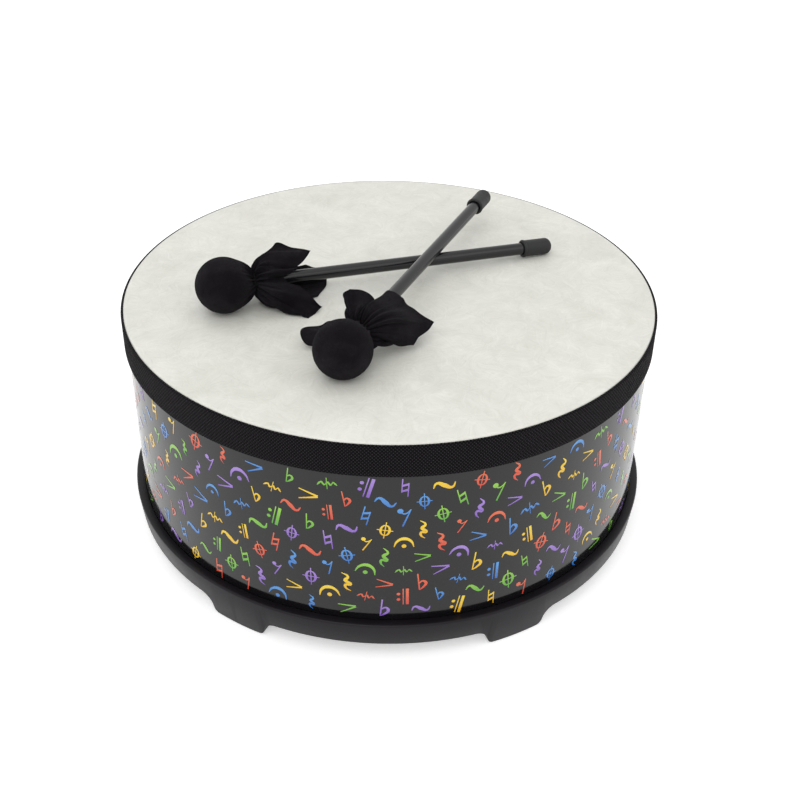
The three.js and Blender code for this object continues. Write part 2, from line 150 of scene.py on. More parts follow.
def vector_node(tree, operation, *values):
    inputs = dict(enumerate(values))
    return add_node(tree, "ShaderNodeVectorMath", inputs, operation=operation).outputs[0]


def mix_values(tree, share, first, second):
    inputs = {"Factor": share, 2: first, 3: second}
    return add_node(tree, "ShaderNodeMix", inputs, data_type="FLOAT").outputs[0]


def mix_colours(tree, share, first, second):
    inputs = {"Factor": share, 6: first, 7: second}
    return add_node(tree, "ShaderNodeMix", inputs, data_type="RGBA").outputs[2]


def remap(tree, value, low, high, to_low=0.0, to_high=1.0):
    """Move a value from one range to another, and stop it at the ends."""
    ends = {"From Min": low, "From Max": high, "To Min": to_low, "To Max": to_high}
    return add_node(tree, "ShaderNodeMapRange", {"Value": value, **ends}, clamp=True).outputs[0]

# %% [markdown]
# A new material comes with a Principled shader. What is the same all over a surface, such as its
# refractive index, is set on the shader's own inputs, and what changes over the surface is wired
# to them. Python has no spaces in names, so an input is called by its label with underscores.

# %% Helpers for materials
def new_material(name, **constants):
    """A material with its Principled shader's inputs, some of them already set."""
    material = bpy.data.materials.new(name)
    material.use_nodes = True
    shader = material.node_tree.nodes["Principled BSDF"].inputs
    for label, value in constants.items():
        shader[label.replace("_", " ")].default_value = value
    return material, material.node_tree, shader


def wire(tree, shader, **sources):
    for label, source in sources.items():
        tree.links.new(source, shader[label.replace("_", " ")])


def object_coordinates(tree):
    return add_node(tree, "ShaderNodeTexCoord").outputs["Object"]


def map_coordinates(tree, name):
    return add_node(tree, "ShaderNodeUVMap", uv_map=name).outputs["UV"]


def bump(tree, height, distance, strength=1.0, normal=None):
    inputs = {"Height": height, "Distance": distance, "Strength": strength}
    if normal is not None:
        inputs["Normal"] = normal
    return add_node(tree, "ShaderNodeBump", inputs).outputs["Normal"]


def seen_directly(tree, *rays):
    """1 for the named kinds of ray, and 0 for light on its way to a surface."""
    path = add_node(tree, "ShaderNodeLightPath").outputs
    seen = path[rays[0]]
    for ray in rays[1:]:
        seen = math_node(tree, "MAXIMUM", seen, path[ray])
    return seen

# %% [markdown]
# The photograph has the evenly white surroundings of a light tent. A white world gives that, a
# little below full strength for the light that falls on things, so that four soft lamps can add
# direction without clipping the pale head. What the camera and the glossy wrap see directly is
# plain white: strength 1, through the Light Path node.

# %% Light the studio
world_strength = 0.76

world = bpy.data.worlds.new("light_tent")
bpy.context.scene.world = world
world.use_nodes = True
tree = world.node_tree
background = tree.nodes["Background"].inputs
background["Color"].default_value = (1, 1, 1, 1)
seen = seen_directly(tree, "Is Camera Ray", "Is Glossy Ray", "Is Transmission Ray")
wire(tree, background, Strength=mix_values(tree, seen, world_strength, 1.0))


def soft_lamp(name, place, target, size, power):
    bpy.ops.object.light_add(type="AREA", location=place)
    lamp = bpy.context.object
    lamp.name = name
    lamp.data.shape = "DISK"
    lamp.data.size = size
    lamp.data.energy = power
    lamp.rotation_euler = (Vector(target) - Vector(place)).to_track_quat("-Z", "Y").to_euler()
    print(name, "at", place, "with", power, "W")


soft_lamp("top_softbox", (0, 0.1, 1.7), (0, 0, 0.15), size=1.5, power=1.2)
soft_lamp("back_softbox", (-0.9, 0.7, 1.7), (0, 0, 0.15), size=1.2, power=1.8)
soft_lamp("front_softbox", (-0.3, -1.3, 1.6), (0, 0, 0.15), size=1.3, power=9.0)
soft_lamp("fill_softbox", (1.5, -0.7, 1.5), (0, 0, 0.1), size=1.3, power=3.0)

# %% [markdown]
# The floor is a pale sheet. A plain diffuse floor would come out light grey, because it only gives
# back the light that reaches it. A faint glow, seen only by the camera and in reflections, lifts it
# to white, and the drum's own shadow still shows on it.

# %% Lay the floor
floor_side = 8
floor_lift = 0.45

bpy.ops.object.select_all(action="DESELECT")
bpy.ops.mesh.primitive_plane_add(size=floor_side)
floor = bpy.context.object
floor.name = "studio_floor"
floor_sheet, tree, shader = new_material(
    "studio_floor", Base_Color=(0.9, 0.9, 0.9, 1), Roughness=0.9, Specular_IOR_Level=0.1,
    Emission_Color=(1, 1, 1, 1),
)
seen = seen_directly(tree, "Is Camera Ray", "Is Glossy Ray")
wire(tree, shader, Emission_Strength=times(tree, seen, floor_lift))
floor.data.materials.append(floor_sheet)
floor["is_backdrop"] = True
print("floor", floor_side, "m wide, lifted by", floor_lift)

# %% [markdown]
# Several finishes share an effect: the moulded base, the rubber and the film all have a fine grain,
# and both the webbing and the mallet cloth are woven. Each effect is a node group, built once with
# named inputs, so that a material places it and sets its own scale. A group puts out only masks and
# heights. The shader stays in the material.

# %% Helpers for node groups
def new_group(name, inputs, outputs):
    """A group with (label, value) inputs, where None stands for a vector to be wired."""
    group = bpy.data.node_groups.new(name, "ShaderNodeTree")
    for label, value in inputs:
        kind = "NodeSocketVector" if value is None else "NodeSocketFloat"
        socket = group.interface.new_socket(name=label, in_out="INPUT", socket_type=kind)
        if value is not None:
            socket.default_value = value
    for label in outputs:
        group.interface.new_socket(name=label, in_out="OUTPUT", socket_type="NodeSocketFloat")
    start = group.nodes.new("NodeGroupInput")
    end = group.nodes.new("NodeGroupOutput")
    return group, start.outputs, end.inputs


def use_group(tree, group, inputs):
    return add_node(tree, "ShaderNodeGroup", inputs, node_tree=group).outputs


def noise(tree, vector, scale, detail=2.0, roughness=0.5, distortion=0.0, output="Fac"):
    inputs = {
        "Vector": vector, "Scale": scale, "Detail": detail,
        "Roughness": roughness, "Distortion": distortion,
    }
    return add_node(tree, "ShaderNodeTexNoise", inputs).outputs[output]

# %% [markdown]
# A moulded or rubbery surface is never quite even. Close up it has a fine pebbled grain left by the
# mould, and over centimetres it is a little duller or shinier where hands and dust have been. One
# noise texture gives the grain and a slow one the dull patches. Specks of dust are small round
# cells, kept only where the slow noise is high.

# %% Group: moulded grain
moulded_grain, given, out = new_group(
    "moulded_grain",
    [("Vector", None), ("Grain per metre", 1600.0), ("Patches per metre", 22.0)],
    ["Grain", "Patches", "Dust"],
)
tree = moulded_grain
grain = noise(tree, given["Vector"], given["Grain per metre"], detail=3.0, roughness=0.6)
slow = noise(tree, given["Vector"], given["Patches per metre"], detail=4.0, roughness=0.6)
cells = add_node(
    tree, "ShaderNodeTexVoronoi", {"Vector": given["Vector"], "Scale": 420.0, "Randomness": 1.0}
)
speck = remap(tree, cells.outputs["Distance"], 0.05, 0.16, 1.0, 0.0)
wire(tree, out, Grain=grain, Patches=remap(tree, slow, 0.35, 0.68),
     Dust=times(tree, speck, remap(tree, slow, 0.5, 0.7)))
print("group", tree.name, "has", len(tree.nodes), "nodes")

# %% [markdown]
# A plain weave has threads that pass over and under each other in turn. Counting threads along both
# directions of the UV map tells, from whether the sum is odd or even, which thread is on top in
# each cell. The top thread swells like a bead, so the height is a product of two sine humps. The
# coordinates are shifted a little by a noise first, because no yarn lies dead straight.

# %% Group: plain weave
plain_weave, given, out = new_group(
    "plain_weave",
    [("Vector", None), ("Pitch along", 0.001), ("Pitch across", 0.001), ("Unevenness", 0.12)],
    ["Height", "Top thread", "Tone"],
)
tree = plain_weave
wobble = noise(tree, given["Vector"], 140.0, output="Color")
centred = vector_node(tree, "SUBTRACT", wobble, (0.5, 0.5, 0.5))
sway = times(tree, given["Unevenness"], given["Pitch along"])
shift = add_node(
    tree, "ShaderNodeVectorMath", {0: centred, "Scale": sway}, operation="SCALE"
).outputs[0]
moved = vector_node(tree, "ADD", given["Vector"], shift)
parts = add_node(tree, "ShaderNodeSeparateXYZ", {"Vector": moved}).outputs
counts, humps = [], []
for part, pitch in ((parts["X"], "Pitch along"), (parts["Y"], "Pitch across")):
    threads = math_node(tree, "DIVIDE", part, given[pitch])
    counts.append(math_node(tree, "FLOOR", threads))
    half_turn = times(tree, math_node(tree, "FRACT", threads), math.pi)
    humps.append(math_node(tree, "SINE", half_turn))
odd = math_node(tree, "FLOORED_MODULO", math_node(tree, "ADD", *counts), 2.0)
over = times(tree, math_node(tree, "POWER", humps[0], 0.5), humps[1])
under = times(tree, math_node(tree, "POWER", humps[1], 0.5), humps[0])
wire(tree, out, Height=mix_values(tree, odd, over, under), Top_thread=odd,
     Tone=noise(tree, given["Vector"], 900.0, detail=3.0))
print("group", tree.name, "has", len(tree.nodes), "nodes")

# %% [markdown]
# A synthetic head that copies calfskin is a felt of short fibres pressed into clear film. Light
# comes through it in soft clouds, with pale and dark hairs lying in every direction. Noise that is
# stretched ten times in one direction looks like such hairs. Three layers, each turned by 60
# degrees and bent by a slow noise, keep any one direction from showing.

# %% Group: felted fibres
felted_fibres, given, out = new_group(
    "felted_fibres",
    [("Vector", None), ("Fibres per metre", 620.0), ("Stretch", 0.1)],
    ["Fibres", "Clouds"],
)
tree = felted_fibres
drift = noise(tree, given["Vector"], 26.0, output="Color")
bent = vector_node(tree, "MULTIPLY_ADD", drift, (0.05, 0.05, 0.0), given["Vector"])
squeezed = add_node(tree, "ShaderNodeCombineXYZ", {"X": 1.0, "Y": given["Stretch"], "Z": 1.0})
layers = []
for turn in (0, 60, 120):
    place = {"Rotation": (0, 0, math.radians(turn)), "Location": (0.37 * turn, 0.11 * turn, 0)}
    turned = add_node(tree, "ShaderNodeMapping", {"Vector": bent, **place}).outputs[0]
    streaks = vector_node(tree, "MULTIPLY", turned, squeezed.outputs[0])
    layers.append(noise(tree, streaks, given["Fibres per metre"], detail=3.0, roughness=0.55))
brightest, darkest = (
    math_node(tree, end, math_node(tree, end, layers[0], layers[1]), layers[2])
    for end in ("MAXIMUM", "MINIMUM")
)
pale = remap(tree, brightest, 0.56, 0.8, 0.5, 1.0)
dark = remap(tree, darkest, 0.2, 0.44, -0.5, 0.0)
cloud = noise(tree, given["Vector"], 34.0, detail=5.0, roughness=0.62, distortion=0.6)
wire(tree, out, Fibres=math_node(tree, "ADD", pale, dark), Clouds=remap(tree, cloud, 0.3, 0.7))
print("group", tree.name, "has", len(tree.nodes), "nodes")

# %% [markdown]
# Blender's operators act on whatever is selected, so each step starts by saying which pieces that
# is. In edit mode they also need an end: the mesh is only up to date once edit mode is left. These
# few steps come back for every piece.

# %% Helpers for selecting and editing
def pick(*pieces):
    """Select these pieces and nothing else, and make the first one active."""
    bpy.ops.object.select_all(action="DESELECT")
    for piece in pieces:
        piece.select_set(True)
    bpy.context.view_layer.objects.active = pieces[0]


def leave_edit_mode(piece):
    bpy.ops.object.mode_set(mode="OBJECT")
    return piece


def face_outwards():
    bpy.ops.mesh.select_all(action="SELECT")
    bpy.ops.mesh.normals_make_consistent(inside=False)


def close_open_ends():
    bpy.ops.mesh.select_all(action="DESELECT")
    bpy.ops.mesh.select_non_manifold()
    bpy.ops.mesh.fill_holes(sides=0)


def apply_modifier(piece, kind, **settings):
    pick(piece)
    modifier = piece.modifiers.new(kind.lower(), kind)
    for name, value in settings.items():
        setattr(modifier, name, value)
    bpy.ops.object.modifier_apply(modifier=modifier.name)


def smooth(piece, angle=30):
    pick(piece)
    bpy.ops.object.shade_smooth_by_angle(angle=math.radians(angle))


def dress(piece, material, slot, body, *replaced):
    """Give a piece its finish and its body, and hide the CAD nodes that it stands for."""
    piece.data.materials.clear()
    piece.data.materials.append(material)
    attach(piece, body)
    if replaced:
        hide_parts(*replaced)
    triangles = sum(len(face.vertices) - 2 for face in piece.data.polygons)
    print(f"{piece.name}: {triangles} triangles in {material.name}")

# %% [markdown]
# Head, wrap, band and base ring are all turned shapes. Each starts from a single vertex: a plane is
# merged to its centre, the vertex is extruded along the half outline, and Spin carries the outline
# round the axis. A lathe-like Screw modifier would do as well, but Spin can also stop short of a
# full turn, and the wrap and the band need that, because their two ends butt together at the back.

# %% Helpers for turned pieces
def start_vertex(name, place):
    bpy.ops.object.select_all(action="DESELECT")
    bpy.ops.mesh.primitive_plane_add(size=1 * mm)
    piece = bpy.context.object
    piece.name = piece.data.name = name
    bpy.ops.object.mode_set(mode="EDIT")
    bpy.ops.mesh.select_mode(type="VERT")
    bpy.ops.mesh.select_all(action="SELECT")
    bpy.ops.mesh.merge(type="CENTER")
    bpy.ops.transform.translate(value=place)
    return piece


def extrude_along(points):
    for before, after in zip(points, points[1:]):
        step = Vector(after) - Vector(before)
        bpy.ops.mesh.extrude_vertices_move(TRANSFORM_OT_translate={"value": step})


def spin_outline(name, outline, steps, start=0.0, gap=0.0):
    """Spin (radius, height) points round the axis, short of a full turn by a gap in metres."""
    gap_angle = gap / max(radius for radius, _ in outline)
    first = start + gap_angle / 2
    points = [
        (radius * math.cos(first), radius * math.sin(first), height) for radius, height in outline
    ]
    piece = start_vertex(name, points[0])
    extrude_along(points)
    bpy.ops.mesh.select_all(action="SELECT")
    bpy.ops.mesh.spin(steps=steps, angle=2 * math.pi - gap_angle, center=(0, 0, 0), axis=(0, 0, 1))
    bpy.ops.mesh.select_all(action="SELECT")
    bpy.ops.mesh.remove_doubles(threshold=1e-6)
    if gap:
        close_open_ends()
    face_outwards()
    print(name, "spun in", steps, "steps, from", len(outline), "points")
    return leave_edit_mode(piece)


def arc_points(centre, radii, first, last, steps):
    """Points of a quarter or other part of an ellipse, angles in degrees, both ends included."""
    turns = [math.radians(first + (last - first) * step / steps) for step in range(steps + 1)]
    return [
        (centre[0] + radii[0] * math.cos(turn), centre[1] + radii[1] * math.sin(turn))
        for turn in turns
    ]

# %% [markdown]
# The head is a stiff film, 0.4 mm thick, pulled over the rounded edge of the shell and glued down
# as a collar that the band hides. On the drum it is the largest pale surface, so its rounded rim
# matters: it catches a thin brighter line just inside the band. The outline runs from the axis out
# over the rim and down, and back up inside, so that the film is a closed shell.

# %% Model the drumhead
film_thickness = 0.4 * mm
rim_radii = (2.2 * mm, 1.6 * mm)
rim_steps = 8
round_steps = 240

rim_centre = (collar_radius - rim_radii[0], head_top - rim_radii[1])
inner_radii = (rim_radii[0] - film_thickness, rim_radii[1] - film_thickness)
flat_part = 0.7 * collar_radius
outline = [
    (0, head_top),
    (flat_part, head_top),
    *arc_points(rim_centre, rim_radii, 90, 0, rim_steps),
    (collar_radius, collar_bottom),
    (collar_radius - film_thickness, collar_bottom),
    *arc_points(rim_centre, inner_radii, 0, 90, rim_steps),
    (flat_part, head_top - film_thickness),
    (0, head_top - film_thickness),
]
head = spin_outline("stretched_head", outline, round_steps)
smooth(head)

# %% [markdown]
# The film is off-white and satin. The felted fibres inside it show as a faint mottling of grey and
# cream. The two colours are not far apart, and the mask seldom reaches either of them. The fibres
# also press through to the surface as a very slight relief, made by a Bump node from the mask.

# %% Finish: fibre head
head_film, tree, shader = new_material("fibre_head_film", Roughness=0.48, IOR=1.45)
coordinates = object_coordinates(tree)
fibres = use_group(tree, felted_fibres, {"Vector": coordinates})
grain = use_group(tree, moulded_grain, {"Vector": coordinates, "Patches per metre": 9.0})
tone = math_node(
    tree, "ADD", times(tree, fibres["Fibres"], 0.55), times(tree, fibres["Clouds"], 0.45)
)
wire(
    tree, shader,
    Base_Color=mix_colours(tree, tone, (0.624, 0.627, 0.56, 1), (0.858, 0.85, 0.798, 1)),
    Roughness=remap(tree, grain["Patches"], 0, 1, 0.42, 0.55),
    Normal=bump(tree, fibres["Fibres"], 0.00008, 0.6),
)
dress(head, head_film, "head_film", "drum", "drumhead")

# %% [markdown]
# The wrap is one sheet of printed laminate, bent round the shell, with its ends butted at the back.
# The outline is a thin upright rectangle with softened outer corners. Spin stops 0.6 mm short of a
# full turn, and the two open ends are filled.

# %% Model the wrap
wrap_wall = 0.8 * mm
sheet_edge = 0.15 * mm
butt_gap = 0.6 * mm
wrap_seam = math.radians(90)
wrap_steps = 360

inner = wrap_radius - wrap_wall
outline = [
    (inner, wrap_bottom),
    (wrap_radius - sheet_edge, wrap_bottom),
    (wrap_radius, wrap_bottom + sheet_edge),
    (wrap_radius, wrap_top - sheet_edge),
    (wrap_radius - sheet_edge, wrap_top),
    (inner, wrap_top),
    (inner, wrap_bottom),
]
wrap = spin_outline("printed_wrap", outline, wrap_steps, start=wrap_seam, gap=butt_gap)
smooth(wrap)

# %% [markdown]
# The laminate is black under clear gloss. Its greys in the photograph are all reflections of the
# white surroundings, stronger towards the sides, where the surface is seen at a flatter angle. A
# Principled shader does that by itself from its refractive index, so the base stays nearly black.
# Fine waves in the sheet and faint wipe marks keep the gloss from looking like glass.

# %% Finish: gloss laminate
def add_laminate_gloss(tree, shader):
    """Waves and wipe marks, the same on the black ground and on the printed signs."""
    coordinates = object_coordinates(tree)
    waves = noise(tree, coordinates, 14.0, detail=1.0)
    peel = noise(tree, coordinates, 260.0, detail=1.0)
    marks = use_group(tree, moulded_grain, {"Vector": coordinates, "Patches per metre": 30.0})
    height = math_node(tree, "ADD", waves, times(tree, peel, 0.012))
    wire(tree, shader, Normal=bump(tree, height, 0.0009, 0.5),
         Roughness=remap(tree, marks["Patches"], 0, 1, 0.07, 0.15))
    return marks


wrap_gloss, tree, shader = new_material("gloss_laminate", IOR=1.45)
marks = add_laminate_gloss(tree, shader)
dust = times(tree, marks["Dust"], 0.35)
dusted = mix_colours(tree, dust, (0.0045, 0.0038, 0.0048, 1), (0.05, 0.05, 0.05, 1))
wire(tree, shader, Base_Color=dusted)
dress(wrap, wrap_gloss, "wrap_print", "drum", "shell_wrap")

# %% [markdown]
# The trim round the rim is black polypropylene webbing, an inch wide. It is woven thick: upright
# ribs, and across them rows of beads that change places from rib to rib. The ribs are real shape
# here, four columns of faces for each, because they make the band's edge uneven against the pale
# head. The beads are little more than a millimetre wide, so they stay in the material. The top edge
# is pressed round and lies lower than the playing surface, which hides it at the back of the drum.

# %% Model the webbing
webbing_thickness = 1.6 * mm
webbing_seam = math.radians(105)
spin_steps = 210
rows_up = 6
selvedge_drop = 0.45 * mm
low_round = (0.55 * mm, 0.55 * mm)
high_round = (1.2 * mm, 0.9 * mm)

inner = band_radius - webbing_thickness
webbing_top = band_top - selvedge_drop
low_centre = (band_radius - low_round[0], band_bottom + low_round[1])
high_centre = (band_radius - high_round[0], webbing_top - high_round[1])
side_height = high_centre[1] - low_centre[1]
outline = [
    (inner, band_bottom),
    *arc_points(low_centre, low_round, -90, 0, 2),
    *((band_radius, low_centre[1] + side_height * step / rows_up) for step in range(1, rows_up)),
    *arc_points(high_centre, high_round, 0, 90, 3),
    (inner, webbing_top),
    (inner, band_bottom),
]
webbing = spin_outline("rim_webbing", outline, spin_steps, start=webbing_seam, gap=butt_gap)

# %% [markdown]
# Spin slows down badly with thousands of steps. So the webbing is spun in coarse steps, and each
# edge that runs round is then cut into columns, four for each rib.

# %% Cut the columns
rib_count = 1050
columns_per_rib = 4


def is_upright(edge):
    low, high = (vertex.co for vertex in edge.verts)
    turn = abs(math.atan2(low.y, low.x) - math.atan2(high.y, high.x))
    return min(turn, 2 * math.pi - turn) < 1e-4


pick(webbing)
bpy.ops.object.mode_set(mode="EDIT")
bpy.ops.mesh.select_mode(type="EDGE")
bpy.ops.mesh.select_all(action="DESELECT")
mesh = bmesh.from_edit_mesh(webbing.data)
for edge in mesh.edges:
    length = (edge.verts[0].co - edge.verts[1].co).length
    edge.select = not is_upright(edge) and length > 2 * butt_gap
bmesh.update_edit_mesh(webbing.data)
bpy.ops.mesh.subdivide(number_cuts=rib_count * columns_per_rib // spin_steps - 1)
leave_edit_mode(webbing)
print("webbing has", len(webbing.data.polygons), "faces")

# %% [markdown]
# The new points lie on the straight chord between two old ones, so each is pushed out to the true
# radius before the ribs are drawn. A rib swells outwards, and at the two edges of the webbing also
# up or down. The webbing's own map holds metres along and across it, for the weave. Faces that
# close the round get their far side's turn back, or the map would run backwards in them.

# %% Raise the ribs and map the webbing
rib_depth = 0.16 * mm
rib_rise = 0.12 * mm

rib_pitch = 2 * math.pi * band_radius / rib_count
gap_angle = butt_gap / band_radius
step_angle = (2 * math.pi - gap_angle) / spin_steps
middle = (band_bottom + webbing_top) / 2
edge_zone = (webbing_top - band_bottom) / 2 - low_round[1]
for vertex in webbing.data.vertices:
    x, y, z = vertex.co
    turn = (math.atan2(y, x) - webbing_seam) % (2 * math.pi)
    past = (turn - gap_angle / 2) % step_angle
    radius = math.hypot(x, y) * math.cos(past - step_angle / 2) / math.cos(step_angle / 2)
    hollow = (1 + math.cos(rib_count * turn)) / 2
    if radius > inner + 0.5 * mm:
        radius -= rib_depth * hollow
    scale = radius / math.hypot(x, y)
    vertex.co.x, vertex.co.y = x * scale, y * scale
    if abs(z - middle) > edge_zone:
        vertex.co.z -= math.copysign(rib_rise * hollow, z - middle)

webbing_map = webbing.data.uv_layers.new(name="webbing_length")
for face in webbing.data.polygons:
    corners = []
    for loop in face.loop_indices:
        x, y, z = webbing.data.vertices[webbing.data.loops[loop].vertex_index].co
        corners.append((loop, (math.atan2(y, x) - webbing_seam) % (2 * math.pi), z))
    closes_round = max(turn for _, turn, _ in corners) > math.pi * 1.9
    for loop, turn, z in corners:
        if closes_round and turn < 0.1:
            turn += 2 * math.pi
        webbing_map.data[loop].uv = (turn * band_radius, z - band_bottom)
smooth(webbing, 60)
print(rib_count, "ribs,", round(rib_pitch / mm, 2), "mm apart")

# %% [markdown]
# Polypropylene yarn is a bundle of shiny filaments, and their shine is painted into the colour:
# each bead is a soft grey spot, a painted highlight, on a black ground that is painted shade
# between the beads. The weave group gives the beads from the webbing's map. Beads where the other
# thread is on top lie deeper, so they are painted darker as shade, and that makes the chequered
# look of thick webbing.

# %% Finish: woven webbing
webbing_black, tree, shader = new_material(
    "polypropylene_webbing", Specular_IOR_Level=0.06, Sheen_Weight=0.02, Sheen_Roughness=0.4
)
weave = use_group(tree, plain_weave, {
    "Vector": map_coordinates(tree, "webbing_length"), "Unevenness": 0.4,
    "Pitch along": rib_pitch, "Pitch across": 1.35 * mm,
})
# Painted light: the grey on each bead is a painted highlight, and the dark between the beads and on
# the beads that lie under is painted shade.
painted_sunken_shade = mix_values(tree, weave["Top thread"], 1.0, 0.05)
painted_bead_highlight = times(tree, weave["Height"], painted_sunken_shade)
colour = mix_colours(tree, painted_bead_highlight, (0.0006, 0.0004, 0.0007, 1), (0.034, 0.029, 0.034, 1))
faded = remap(tree, weave["Tone"], 0.45, 0.75, 0, 0.4)
wire(
    tree, shader,
    Base_Color=mix_colours(tree, faded, colour, (0.007, 0.0065, 0.0075, 1)),
    Roughness=remap(tree, weave["Height"], 0, 1, 0.8, 0.48),
    Normal=bump(tree, weave["Height"], 0.0004, 0.9),
)
dress(webbing, webbing_black, "rim_webbing", "drum", "trim_band")

# %% [markdown]
# The base ring is one black moulding. Its outer face leans in by six degrees so that it leaves its
# mould, a flat ledge on top stops the wrap's edge, and a groove with a taller wall inside takes the
# shell. A spun outline gives all of that at once. It runs a little below the floor, because the
# feet are cut to length afterwards.

# %% Model the ring
ledge_height = 34 * mm
lip_round = 1.5 * mm
face_draft = math.radians(6)
groove_floor = 24 * mm
groove_radii = (192.8 * mm, 200.9 * mm)
upstand_inner = 189.8 * mm
upstand_top = low_and_high("base_ring")[1]
below_floor = -4 * mm


def face_radius(height):
    return lip_radius - (ledge_height - height) * math.tan(face_draft)


lip_centre = (lip_radius - lip_round, ledge_height - lip_round)
ring_outline = [
    (upstand_inner, below_floor),
    (face_radius(below_floor), below_floor),
    *arc_points(lip_centre, (lip_round, lip_round), -6, 90, 4),
    (groove_radii[1], ledge_height),
    (groove_radii[1], groove_floor),
    (groove_radii[0], groove_floor),
    (groove_radii[0], upstand_top),
    (upstand_inner, upstand_top),
    (upstand_inner, below_floor),
]
base = spin_outline("moulded_base", ring_outline, round_steps)

# %% [markdown]
# Six arches leave six splayed feet. One arch is drawn flat, as a line over the opening with its
# corners rounded, pulled down to a strip of upright faces, given depth, and then laid round the
# axis: its x becomes an angle and its z a radius. The cut is radial then, which a straight cutter
# wouldn't give. Upright strips matter, because only faces with a narrow x can follow the bend. The
# same bend serves the signs on the wrap further on.

# %% Helpers for bent cutters
def strip_prism(name, line, bottom, depth, rounded=(), segments=6):
    """Pull a line in XY down to a height, and give the strip of faces a depth along Z."""
    points = [(x, y, 0) for x, y in line]
    piece = start_vertex(name, points[0])
    extrude_along(points)
    for corner, offset in rounded:
        mesh = bmesh.from_edit_mesh(piece.data)
        bpy.ops.mesh.select_all(action="DESELECT")
        nearest = min(mesh.verts, key=lambda vertex: (vertex.co - Vector((*corner, 0))).length)
        nearest.select = True
        bmesh.update_edit_mesh(piece.data)
        bpy.ops.mesh.bevel(offset=offset, segments=segments, affect="VERTICES")
    bpy.ops.mesh.select_all(action="SELECT")
    bpy.ops.mesh.extrude_edges_move(TRANSFORM_OT_translate={"value": (0, bottom, 0)})
    mesh = bmesh.from_edit_mesh(piece.data)
    for vertex in mesh.verts:
        if vertex.select:
            vertex.co.y = bottom
    bmesh.update_edit_mesh(piece.data)
    bpy.ops.mesh.select_all(action="SELECT")
    bpy.ops.mesh.extrude_region_move(TRANSFORM_OT_translate={"value": (0, 0, depth)})
    face_outwards()
    return leave_edit_mode(piece)


def lay_round(mesh, reference, inner, azimuth):
    """Turn x along a face into an angle, y into height and z into radius."""
    for vertex in mesh.vertices:
        along, up, out = vertex.co
        turn = azimuth + along / reference
        radius = inner + out
        vertex.co = (radius * math.cos(turn), radius * math.sin(turn), up)


def cut_round(piece, cutter, count):
    """Subtract a cutter from a piece at equal steps round the axis, and delete the cutter."""
    step = Matrix.Rotation(2 * math.pi / count, 4, "Z")
    for _ in range(count):
        apply_modifier(piece, "BOOLEAN", operation="DIFFERENCE", solver="MANIFOLD", object=cutter)
        cutter.data.transform(step)
    print(piece.name, "has", len(piece.data.polygons), "faces after", cutter.name)
    bpy.data.objects.remove(cutter)

# %% [markdown]
# The arch is drawn as half a foot's side, the fillet above it and the roof, and their mirror
# images. The roof is cut into short pieces, so that it bends with the ring. A corner of a line is
# rounded by a vertex bevel, whose offset is the fillet's radius times the tangent of half the turn.

# %% Cut the arches
foot_count = 6
foot_width = 44.8 * mm
foot_lean = math.radians(13.5)
arch_height = 15 * mm
arch_depth = (180 * mm, 40 * mm)
pad_proud = 0.8 * mm
root_fillet = 10 * mm
corner_fillet = 4.5 * mm
spare = 2 * mm
roof_steps = 28

foot_pitch = 2 * math.pi / foot_count
reference = face_radius(arch_height)
half_pitch = foot_pitch / 2 * reference
lean_run = (arch_height - pad_proud) * math.tan(foot_lean)
side_low = half_pitch - foot_width / 2
side_high = side_low - lean_run
end = half_pitch + spare
under = below_floor - spare
roof_half = side_high - root_fillet
roof = [
    (roof_half * (2 * step / roof_steps - 1), arch_height) for step in range(roof_steps + 1)
]
line = [
    (-end, pad_proud), (-side_low, pad_proud), (-side_high, arch_height), *roof,
    (side_high, arch_height), (side_low, pad_proud), (end, pad_proud),
]
tangent = 1 / math.tan((math.pi / 2 + foot_lean) / 2)
rounded = [
    ((side * place, height), fillet * tangent)
    for place, height, fillet in (
        (side_low, pad_proud, corner_fillet), (side_high, arch_height, root_fillet),
    )
    for side in (1, -1)
]
arch = strip_prism("arch_cutter", line, under, arch_depth[1], rounded, segments=8)
lay_round(arch.data, reference, arch_depth[0], foot_pitch / 2)
cut_round(base, arch, foot_count)

# %% [markdown]
# Underneath, the moulding is cored out so that its walls stay thin: a recess with two hollows in
# each foot, where a rubber pad is pressed in, and four pockets with ribs between them over each
# arch. Nobody sees them until the drum is turned over, but they cost only a few boxes. Each box is
# drawn flat, with enough cuts along its length to bend.

# %% Core the feet
outer_wall = 3 * mm
rib_width = 2.5 * mm
pad_shoulder = 2 * mm
pad_margin = 5 * mm
pad_top = 7.8 * mm
core_top = 21 * mm
pocket_cuts = 6

recess_radii = (groove_radii[0], face_radius(pad_proud) - outer_wall)
recess_half = (foot_width / 2 - pad_margin) / reference
shoulder_turn = pad_shoulder / recess_radii[1]
rib_turn = rib_width / recess_radii[1]


def cut_pockets(name, radii, turns, heights):
    """Cut a pocket between two radii, two angles and two heights into every foot or arch."""
    width = (turns[1] - turns[0]) * radii[1]
    line = [(width * step / pocket_cuts, heights[1]) for step in range(pocket_cuts + 1)]
    pocket = strip_prism(name, line, heights[0], radii[1] - radii[0])
    lay_round(pocket.data, radii[1], radii[0], turns[0])
    cut_round(base, pocket, foot_count)


cut_pockets("pad_mouth", recess_radii, (-recess_half, recess_half), (under, pad_top))
core_radii = (recess_radii[0] + pad_shoulder, recess_radii[1] - pad_shoulder)
for side in (-1, 1):
    turns = sorted((side * rib_turn / 2, side * (recess_half - shoulder_turn)))
    cut_pockets("foot_hollow", core_radii, turns, (pad_top - spare, core_top))

# %% Core the arches
pockets_per_arch = 4

root_run = root_fillet * math.tan((math.pi / 2 - foot_lean) / 2)
foot_half = (foot_width / 2 + lean_run + root_run) / reference
arch_half = foot_pitch / 2 - foot_half - rib_turn
pocket_pitch = (2 * arch_half + rib_turn) / pockets_per_arch
for number in range(pockets_per_arch):
    first = foot_pitch / 2 - arch_half + number * pocket_pitch
    turns = (first, first + pocket_pitch - rib_turn)
    cut_pockets("arch_pocket", recess_radii, turns, (arch_height - spare, core_top))

